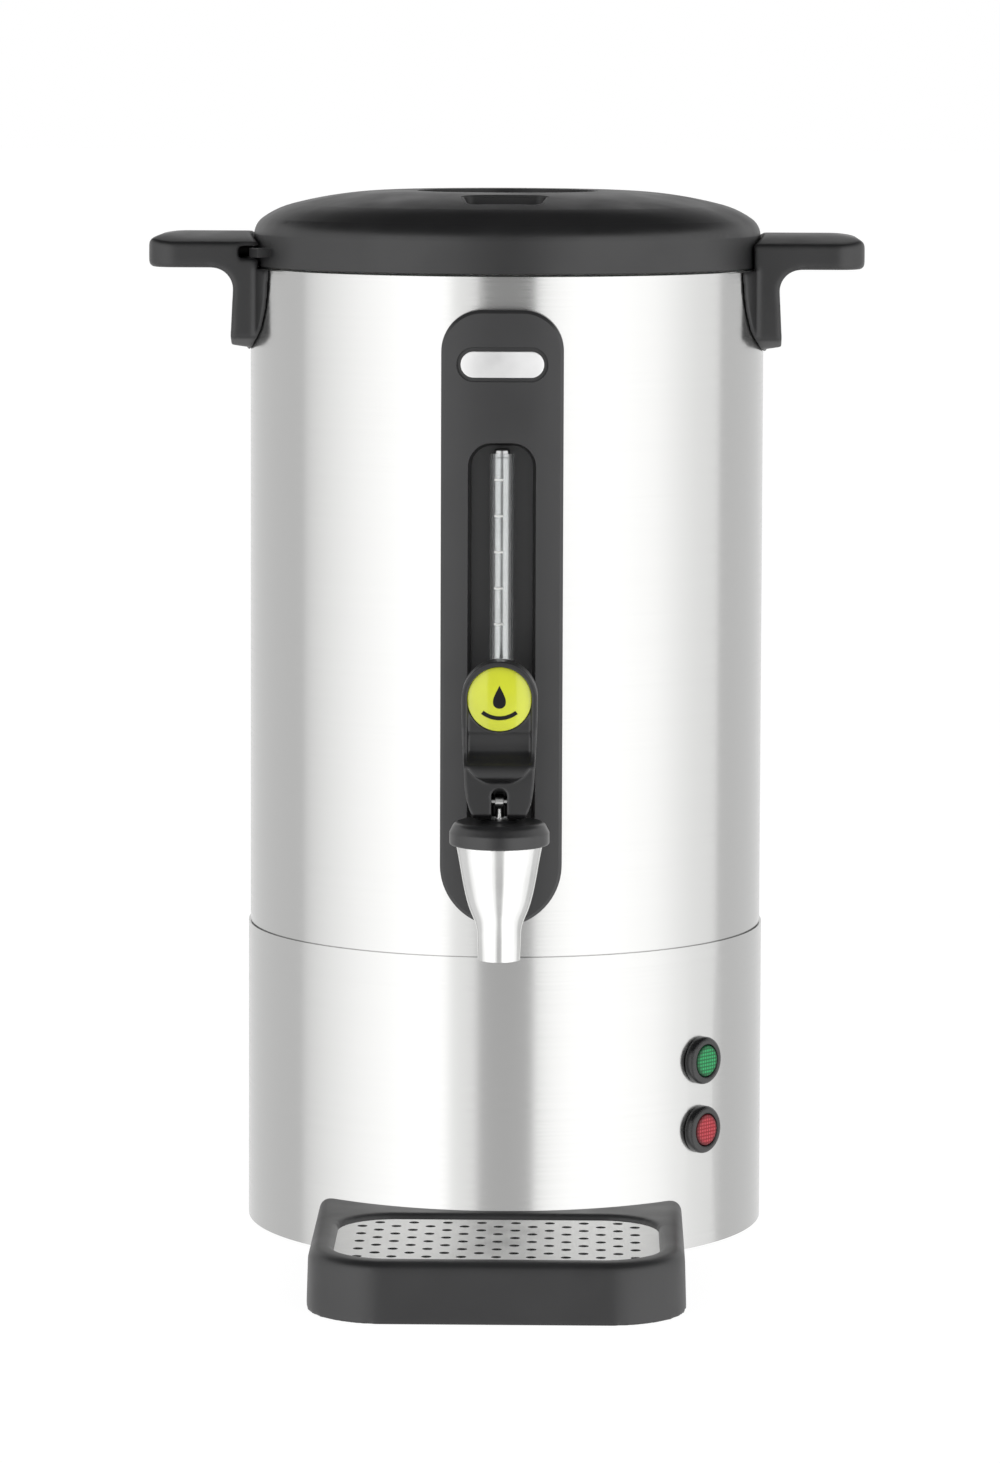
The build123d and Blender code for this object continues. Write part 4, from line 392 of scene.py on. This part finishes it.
# Extruded acrylic tube: clear, with faint draw lines up its length
tubeSet = {"colour": "#F4F6F6", "ior": 1.49, "clear": 0.97, "linesPerMm": (0.9, 0.9, 0.006), "dullest": 0.03}
gaugeGlass, tree, shader = newMaterial("clearGaugeTube")
setShader(shader, Base_Color=hexColour(tubeSet["colour"]), IOR=tubeSet["ior"],
          Transmission_Weight=tubeSet["clear"])
place = addNode(tree, "TexCoord")
stretch = addNode(tree, "Mapping", {"Scale": [1000 * count for count in tubeSet["linesPerMm"]]},
                  {"Vector": place.outputs["Object"]})
streaks = addNode(tree, "TexNoise", {"Scale": 1.0}, {"Vector": stretch.outputs[0]})
gloss = addNode(tree, "MapRange", {"To Min": 0.0, "To Max": tubeSet["dullest"]},
                {"Value": streaks.outputs[0]})
tree.links.new(gloss.outputs[0], shader.inputs["Roughness"])

# Polycarbonate lenses with a moulded grid of small prisms; each prism's centre carries a painted glint, and
# painted shade darkens the ring next to the bezel
lensSet = {"azimuth": 49, "pitchMm": 1.5, "coreMm": 4.6, "rimMm": 6.7, "dotShare": (0.26, 0.42),
           "roughness": 0.3, "ior": 1.45, "specular": 0.3, "prismStrength": 0.35, "prismMm": 0.2}
for lampName, rimShade, colour, prismGlint in (("green", "#0C3A22", "#14703F", "#35BE72"),
                                       ("red", "#4A1016", "#A01C28", "#D8505B")):
    lens, tree, shader = newMaterial("prismaticLens_" + lampName)
    setShader(shader, Roughness=lensSet["roughness"], IOR=lensSet["ior"],
              Specular_IOR_Level=lensSet["specular"])
    lensLow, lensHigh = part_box("lamp_lens_" + lampName)
    place = addNode(tree, "TexCoord")
    centred = addNode(tree, "Mapping", {"Location": -(lensLow + lensHigh) / 2},
                      {"Vector": place.outputs["Object"]})
    facing = addNode(tree, "Mapping", {"Rotation": (0, 0, math.radians(-lensSet["azimuth"]))},
                     {"Vector": centred.outputs[0]})
    flat = addNode(tree, "Mapping", {"Scale": (1, 0, 1)}, {"Vector": facing.outputs[0]})
    reach = addNode(tree, "VectorMath", {"operation": "LENGTH"}, {0: flat.outputs[0]})
    rimShadeMask = addNode(tree, "MapRange",
                   {"From Min": lensSet["coreMm"] / 1000, "From Max": lensSet["rimMm"] / 1000},
                   {"Value": reach.outputs["Value"]})
    prisms = addNode(tree, "TexVoronoi", {"Scale": 1000 / lensSet["pitchMm"], "Randomness": 0.0},
                     {"Vector": flat.outputs[0]})
    inner, outer = lensSet["dotShare"]
    spot = addNode(tree, "MapRange", {"From Min": inner, "From Max": outer, "To Min": 1.0, "To Max": 0.0},
                   {"Value": prisms.outputs["Distance"]})
    # painted glints: the lighter colour at each prism's centre
    tone = addNode(tree, "Mix", {"data_type": "RGBA", mixFirst: hexColour(colour),
                                 mixSecond: hexColour(prismGlint)}, {mixFactor: spot.outputs[0]})
    # painted shade: the lens darkens from its core towards the bezel ring
    withRimShade = addNode(tree, "Mix", {"data_type": "RGBA", mixSecond: hexColour(rimShade)},
                     {mixFactor: rimShadeMask.outputs[0], mixFirst: tone.outputs[mixResult]})
    bump = addNode(tree, "Bump",
                   {"Strength": lensSet["prismStrength"], "Distance": lensSet["prismMm"] / 1000},
                   {"Height": spot.outputs[0]})
    tree.links.new(withRimShade.outputs[mixResult], shader.inputs["Base Color"])
    tree.links.new(bump.outputs[0], shader.inputs["Normal"])
    dress(lens, "lamp_lens_" + lampName)

# Poured resin on the lever's disc, glossy and smooth, and the inks
discYellow = moulded("domedResinYellow", "#DDE42A", roughness=0.14, grain=0.0, Coat_Weight=0.5)
inkBlack = moulded("printedInkBlack", "#0A0A0B", roughness=0.5, grain=0.3, Specular_IOR_Level=0.2)
markWhite = moulded("printedInkWhite", "#F2F2F0", roughness=0.5, grain=0.3)
cadNodes["drip_grid"].visible_glossy = False  # like the tray below, so that the skirt mirrors neither
print("materials set")


# Metres that close a seam or a pole after a spin, and the angle in degrees past which an edge is sharp
mergeDistance, sharpAngle = 0.000002, 35


# Puts a finished bmesh in the scene as a piece that rides on a body
def addPiece(name, shape, body, slotName, material, *replaced):
    bmesh.ops.recalc_face_normals(shape, faces=shape.faces)
    mesh = bpy.data.meshes.new(name)
    shape.to_mesh(mesh)
    shape.free()
    mesh.shade_smooth()
    mesh.set_sharp_from_angle(angle=math.radians(sharpAngle))
    mesh.materials.append(material)
    piece = bpy.data.objects.new(name, mesh)
    scene.collection.objects.link(piece)
    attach(piece, body)
    if replaced:
        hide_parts(*replaced)
    return piece


# Moulded pieces with their edges really rounded: body, slot, voxel in mm and rounds of smoothing
softSet = {"handle_left": ("root", "black_plastic", 0.65, 6),
           "handle_right": ("root", "black_plastic", 0.65, 6),
           "tray_body": ("drip_tray", "black_plastic", 0.9, 6),
           "tap_lever": ("lever", "black_plastic", 0.4, 4)}
looseMerge, smoothPull = 0.00001, 0.5  # metres that join a node's loose triangles, and each round's share


# A copy of the node's solid, remeshed finely and relaxed a little; it keeps the node's material
def soften(nodeName, body, slotName, voxelMm, rounds):
    source = cadNodes[nodeName]
    shape = bmesh.new()
    shape.from_mesh(source.data)
    bmesh.ops.remove_doubles(shape, verts=shape.verts, dist=looseMerge)
    mesh = bpy.data.meshes.new(nodeName + "Fine")
    shape.to_mesh(mesh)
    shape.free()
    block = bpy.data.objects.new(nodeName + "Fine", mesh)
    scene.collection.objects.link(block)
    remesh = block.modifiers.new("fineGrid", "REMESH")
    remesh.mode = "VOXEL"
    remesh.voxel_size = voxelMm / 1000
    remesh.adaptivity = 0.0
    bpy.context.view_layer.update()
    shape = bmesh.new()
    shape.from_object(block, bpy.context.evaluated_depsgraph_get())
    bpy.data.objects.remove(block)
    for _ in range(rounds):
        bmesh.ops.smooth_vert(shape, verts=shape.verts, factor=smoothPull, use_axis_x=True, use_axis_y=True,
                              use_axis_z=True)
    piece = addPiece(nodeName + "Soft", shape, body, slotName, source.data.materials[0], nodeName)
    print(nodeName, "softened:", len(piece.data.polygons), "faces")
    return piece


softPieces = {nodeName: soften(nodeName, *values) for nodeName, values in softSet.items()}
softPieces["tray_body"].visible_glossy = False

# Sight gauge: a bright metal rod in the tube's bore as a painted reflection of the bore, a rounded plug on
# top and five printed level marks
gaugeSet = {"plugAndSheenRadius": 0.0033, "sheenFoot": 0.001, "sheenGap": 0.0002, "sheenRound": 0.0002,
            "boreRadius": 0.0036, "tubeSteps": 192, "plugRound": 0.0012, "rodSegments": 64, "roundSteps": 6,
            "markLevels": (0.3294, 0.3145, 0.2997, 0.2848, 0.2700), "markHeight": 0.00075,
            "markProud": 0.00006, "markDepth": 0.0001, "markSweep": (-36, 6), "markSteps": 10}
sameHeight = 0.000001  # metres
tubeLow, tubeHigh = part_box("gauge_tube")
capLow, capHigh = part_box("gauge_cap")
tubeY = (tubeLow.y + tubeHigh.y) / 2
tubeRadius = (tubeHigh.x - tubeLow.x) / 2


# Upright rod on the tube's axis with its top edge rounded
def turnedRod(radius, low, high, rounding):
    shape = bmesh.new()
    bmesh.ops.create_cone(shape, cap_ends=True, segments=gaugeSet["rodSegments"], radius1=radius,
                          radius2=radius, depth=high - low,
                          matrix=Matrix.Translation((0, tubeY, (low + high) / 2)))
    rim = [edge for edge in shape.edges if all(abs(vert.co.z - high) < sameHeight for vert in edge.verts)]
    bmesh.ops.bevel(shape, geom=rim, offset=rounding, segments=gaugeSet["roundSteps"], profile=0.5,
                    affect="EDGES", material=-1)
    return shape


shape = bmesh.new()
corners = [shape.verts.new((radius, tubeY, height)) for radius, height in
           ((gaugeSet["boreRadius"], tubeLow.z), (tubeHigh.x, tubeLow.z), (tubeHigh.x, tubeHigh.z),
            (gaugeSet["boreRadius"], tubeHigh.z))]
edges = [shape.edges.new((first, second)) for first, second in zip(corners, corners[1:] + corners[:1])]
bmesh.ops.spin(shape, geom=corners + edges, cent=(0, tubeY, 0), axis=(0, 0, 1), angle=math.tau,
               steps=gaugeSet["tubeSteps"], use_merge=True)
bmesh.ops.remove_doubles(shape, verts=shape.verts, dist=mergeDistance)
addPiece("gaugeTube", shape, "root", "clear_tube", gaugeGlass, "gauge_tube")
# painted reflection: a rod in the bore that stands for the bright look of the empty bore
boreSheen = turnedRod(gaugeSet["plugAndSheenRadius"], tubeLow.z + gaugeSet["sheenFoot"],
                   capLow.z - gaugeSet["sheenGap"], gaugeSet["sheenRound"])
addPiece("gaugeBoreSheen", boreSheen, "root", "plain_steel", plugAndSheenMetal)
plug = turnedRod(gaugeSet["plugAndSheenRadius"], capLow.z, capHigh.z, gaugeSet["plugRound"])
addPiece("gaugePlug", plug, "root", "silicone", plugAndSheenMetal, "gauge_cap")

shape = bmesh.new()
sweepFrom, sweepTo = (math.radians(angle) for angle in gaugeSet["markSweep"])
outer = tubeRadius + gaugeSet["markProud"]
inner = outer - gaugeSet["markDepth"]
for level in gaugeSet["markLevels"]:
    low, high = level - gaugeSet["markHeight"] / 2, level + gaugeSet["markHeight"] / 2
    corners = [shape.verts.new((0, -reach, height)) for reach, height in
               ((inner, low), (outer, low), (outer, high), (inner, high))]
    face = shape.faces.new(corners)
    bmesh.ops.rotate(shape, verts=corners, cent=(0, 0, 0), matrix=Matrix.Rotation(sweepFrom, 3, "Z"))
    bmesh.ops.spin(shape, geom=[face], cent=(0, 0, 0), axis=(0, 0, 1), angle=sweepTo - sweepFrom,
                   steps=gaugeSet["markSteps"])
bmesh.ops.translate(shape, verts=shape.verts, vec=(0, tubeY, 0))
addPiece("gaugeMarks", shape, "root", "badge_metal", markWhite)

# Lever disc: one smooth dome with a drop above a shallow arc printed on it
discSet = {"rise": 0.0016, "domeSteps": 14, "ringSteps": 128,
           "dropHeight": 0.0094, "dropWidth": 0.0074, "dropCentre": 0.0010, "dropPoints": 56,
           "dropTaper": 1.5,
           "arcRadius": 0.0112, "arcCentre": 0.0036, "arcHalf": 38, "arcWidth": 0.0016, "arcSteps": 28,
           "inkProud": 0.00007, "inkDepth": 0.00012}
discLow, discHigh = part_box("lever_disc")
discZ = (discLow.z + discHigh.z) / 2
discRadius = (discHigh.x - discLow.x) / 2
domeRadius = (discRadius ** 2 + discSet["rise"] ** 2) / (2 * discSet["rise"])
domeCentre = Vector((0, discLow.y + domeRadius, discZ))
shape = bmesh.new()
apex = shape.verts.new((0, discLow.y, discZ))
bmesh.ops.spin(shape, geom=[apex], cent=domeCentre, axis=(1, 0, 0),
               angle=-math.asin(discRadius / domeRadius), steps=discSet["domeSteps"])
rim = max(shape.verts, key=lambda vert: abs(vert.co.z - discZ))
lower = bmesh.ops.extrude_vert_indiv(shape, verts=[rim])["verts"]
lower[0].co.y = discHigh.y
centre = bmesh.ops.extrude_vert_indiv(shape, verts=lower)["verts"]
centre[0].co.z = discZ
bmesh.ops.spin(shape, geom=shape.verts[:] + shape.edges[:], cent=(0, 0, discZ), axis=(0, 1, 0),
               angle=math.tau, steps=discSet["ringSteps"], use_merge=True)
bmesh.ops.remove_doubles(shape, verts=shape.verts, dist=mergeDistance)
addPiece("leverDome", shape, "lever", "disc_yellow", discYellow, "lever_disc")


# Lays a flat shape, drawn about the disc's middle in X and Y, on the dome as a thin layer of ink
def inkOnDome(shape):
    for vert in shape.verts:
        x, z = vert.co.x, vert.co.y
        y = domeCentre.y - math.sqrt((domeRadius + discSet["inkProud"]) ** 2 - x * x - z * z)
        vert.co = (x, y, discZ + z)
    bmesh.ops.recalc_face_normals(shape, faces=shape.faces)
    bmesh.ops.solidify(shape, geom=shape.faces[:], thickness=discSet["inkDepth"])
    return shape


shape = bmesh.new()
bmesh.ops.create_circle(shape, cap_ends=True, segments=discSet["dropPoints"], radius=1.0)
for vert in shape.verts:
    around = math.atan2(vert.co.x, vert.co.y) % math.tau  # 0 at the drop's point
    taper = math.sin(around / 2) ** discSet["dropTaper"]
    vert.co = (discSet["dropWidth"] / 2 * math.sin(around) * taper,
               discSet["dropCentre"] + discSet["dropHeight"] / 2 * math.cos(around), 0)
bmesh.ops.poke(shape, faces=shape.faces[:])
addPiece("printedDrop", inkOnDome(shape), "lever", "black_plastic", inkBlack)
shape = bmesh.new()
half = math.radians(discSet["arcHalf"])
arcCentre = (0, discSet["arcCentre"], 0)
ends = [shape.verts.new((0, discSet["arcCentre"] - discSet["arcRadius"] + side * discSet["arcWidth"] / 2, 0))
        for side in (-1, 1)]
edge = shape.edges.new(ends)
bmesh.ops.rotate(shape, verts=ends, cent=arcCentre, matrix=Matrix.Rotation(-half, 3, "Z"))
bmesh.ops.spin(shape, geom=ends + [edge], cent=arcCentre, axis=(0, 0, 1), angle=2 * half,
               steps=discSet["arcSteps"])
addPiece("printedArc", inkOnDome(shape), "lever", "black_plastic", inkBlack)
print("gauge and lever disc made")

# Tap spring: wound round the stem's axis at the height of the node it replaces; the real spring shortens as
# the lever lifts the stem, and this one keeps its length
springSet = {"coilRadius": 0.005, "wireRadius": 0.0005, "turns": 5, "stepsPerTurn": 40, "wireSides": 12,
             "travel": 0.003}
springLow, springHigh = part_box("tap_spring")
springAxis = Vector((0, (springLow.y + springHigh.y) / 2, 0))
coilRise = springHigh.z - springLow.z - 2 * springSet["wireRadius"]
coilFoot = Vector((0, 0, springLow.z + springSet["wireRadius"]))
wireEnd = Matrix.Translation((springSet["coilRadius"], 0, 0)) @ Matrix.Rotation(math.pi / 2, 4, "X")
shape = bmesh.new()
bmesh.ops.create_circle(shape, segments=springSet["wireSides"], radius=springSet["wireRadius"],
                        matrix=wireEnd)
bmesh.ops.translate(shape, verts=shape.verts, vec=springAxis + coilFoot)
steps = springSet["turns"] * springSet["stepsPerTurn"]
bmesh.ops.spin(shape, geom=shape.verts[:] + shape.edges[:], cent=springAxis, axis=(0, 0, 1),
               dvec=(0, 0, coilRise / steps), angle=math.tau * springSet["turns"], steps=steps)
bmesh.ops.holes_fill(shape, edges=[edge for edge in shape.edges if edge.is_boundary], sides=0)
spring = addPiece("tapSpring", shape, "root", "spring_steel", sheetSteel, "tap_spring")
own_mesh(spring)

# Rocker: the usual bar and ring on its two faces
rockerSet = {"tilt": 8.0, "crease": 0.0010, "edge": 0.0024, "half": 0.0047, "along": 0.55,
             "barLength": 0.0026, "barWidth": 0.0005, "ringRadius": 0.0011, "ringWidth": 0.0004,
             "ringSteps": 40, "proud": 0.00005, "depth": 0.0001}
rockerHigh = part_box("switch_rocker")[1]
housingLow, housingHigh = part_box("switch_housing")
tilt = math.radians(rockerSet["tilt"])
outward = Vector((0, math.cos(tilt), math.sin(tilt)))
upward = Vector((0, -math.sin(tilt), math.cos(tilt)))
reachAtRest = (outward * rockerSet["edge"] - upward * rockerSet["half"]).y
pivot = Vector((0, rockerHigh.y - reachAtRest, (housingLow.z + housingHigh.z) / 2))
for markName, side in (("rockerBar", 1), ("rockerRing", -1)):
    fold = Vector((rockerSet["edge"] - rockerSet["crease"], side * rockerSet["half"])).normalized()
    slope = outward * fold.x + upward * fold.y
    middle = pivot + outward * rockerSet["crease"] + slope * rockerSet["half"] * rockerSet["along"]
    faceOut = Vector((1, 0, 0)).cross(slope) * -side
    lay = Matrix((Vector((1, 0, 0)), slope, faceOut)).transposed().to_4x4()
    lay.translation = middle + faceOut * rockerSet["proud"]
    shape = bmesh.new()
    if side > 0:
        bmesh.ops.create_grid(shape, x_segments=1, y_segments=1, size=0.5)
        bmesh.ops.scale(shape, vec=(rockerSet["barWidth"], rockerSet["barLength"], 1), verts=shape.verts)
    else:
        ends = [shape.verts.new((rockerSet["ringRadius"] + width, 0, 0))
                for width in (0, rockerSet["ringWidth"])]
        edge = shape.edges.new(ends)
        bmesh.ops.spin(shape, geom=ends + [edge], cent=(0, 0, 0), axis=(0, 0, 1), angle=math.tau,
                       steps=rockerSet["ringSteps"], use_merge=True)
        bmesh.ops.remove_doubles(shape, verts=shape.verts, dist=mergeDistance)
    bmesh.ops.transform(shape, matrix=lay, verts=shape.verts)
    bmesh.ops.recalc_face_normals(shape, faces=shape.faces)
    bmesh.ops.solidify(shape, geom=shape.faces[:], thickness=rockerSet["depth"])
    addPiece(markName, shape, "rocker", "badge_metal", markWhite)
print("spring and rocker marks made")
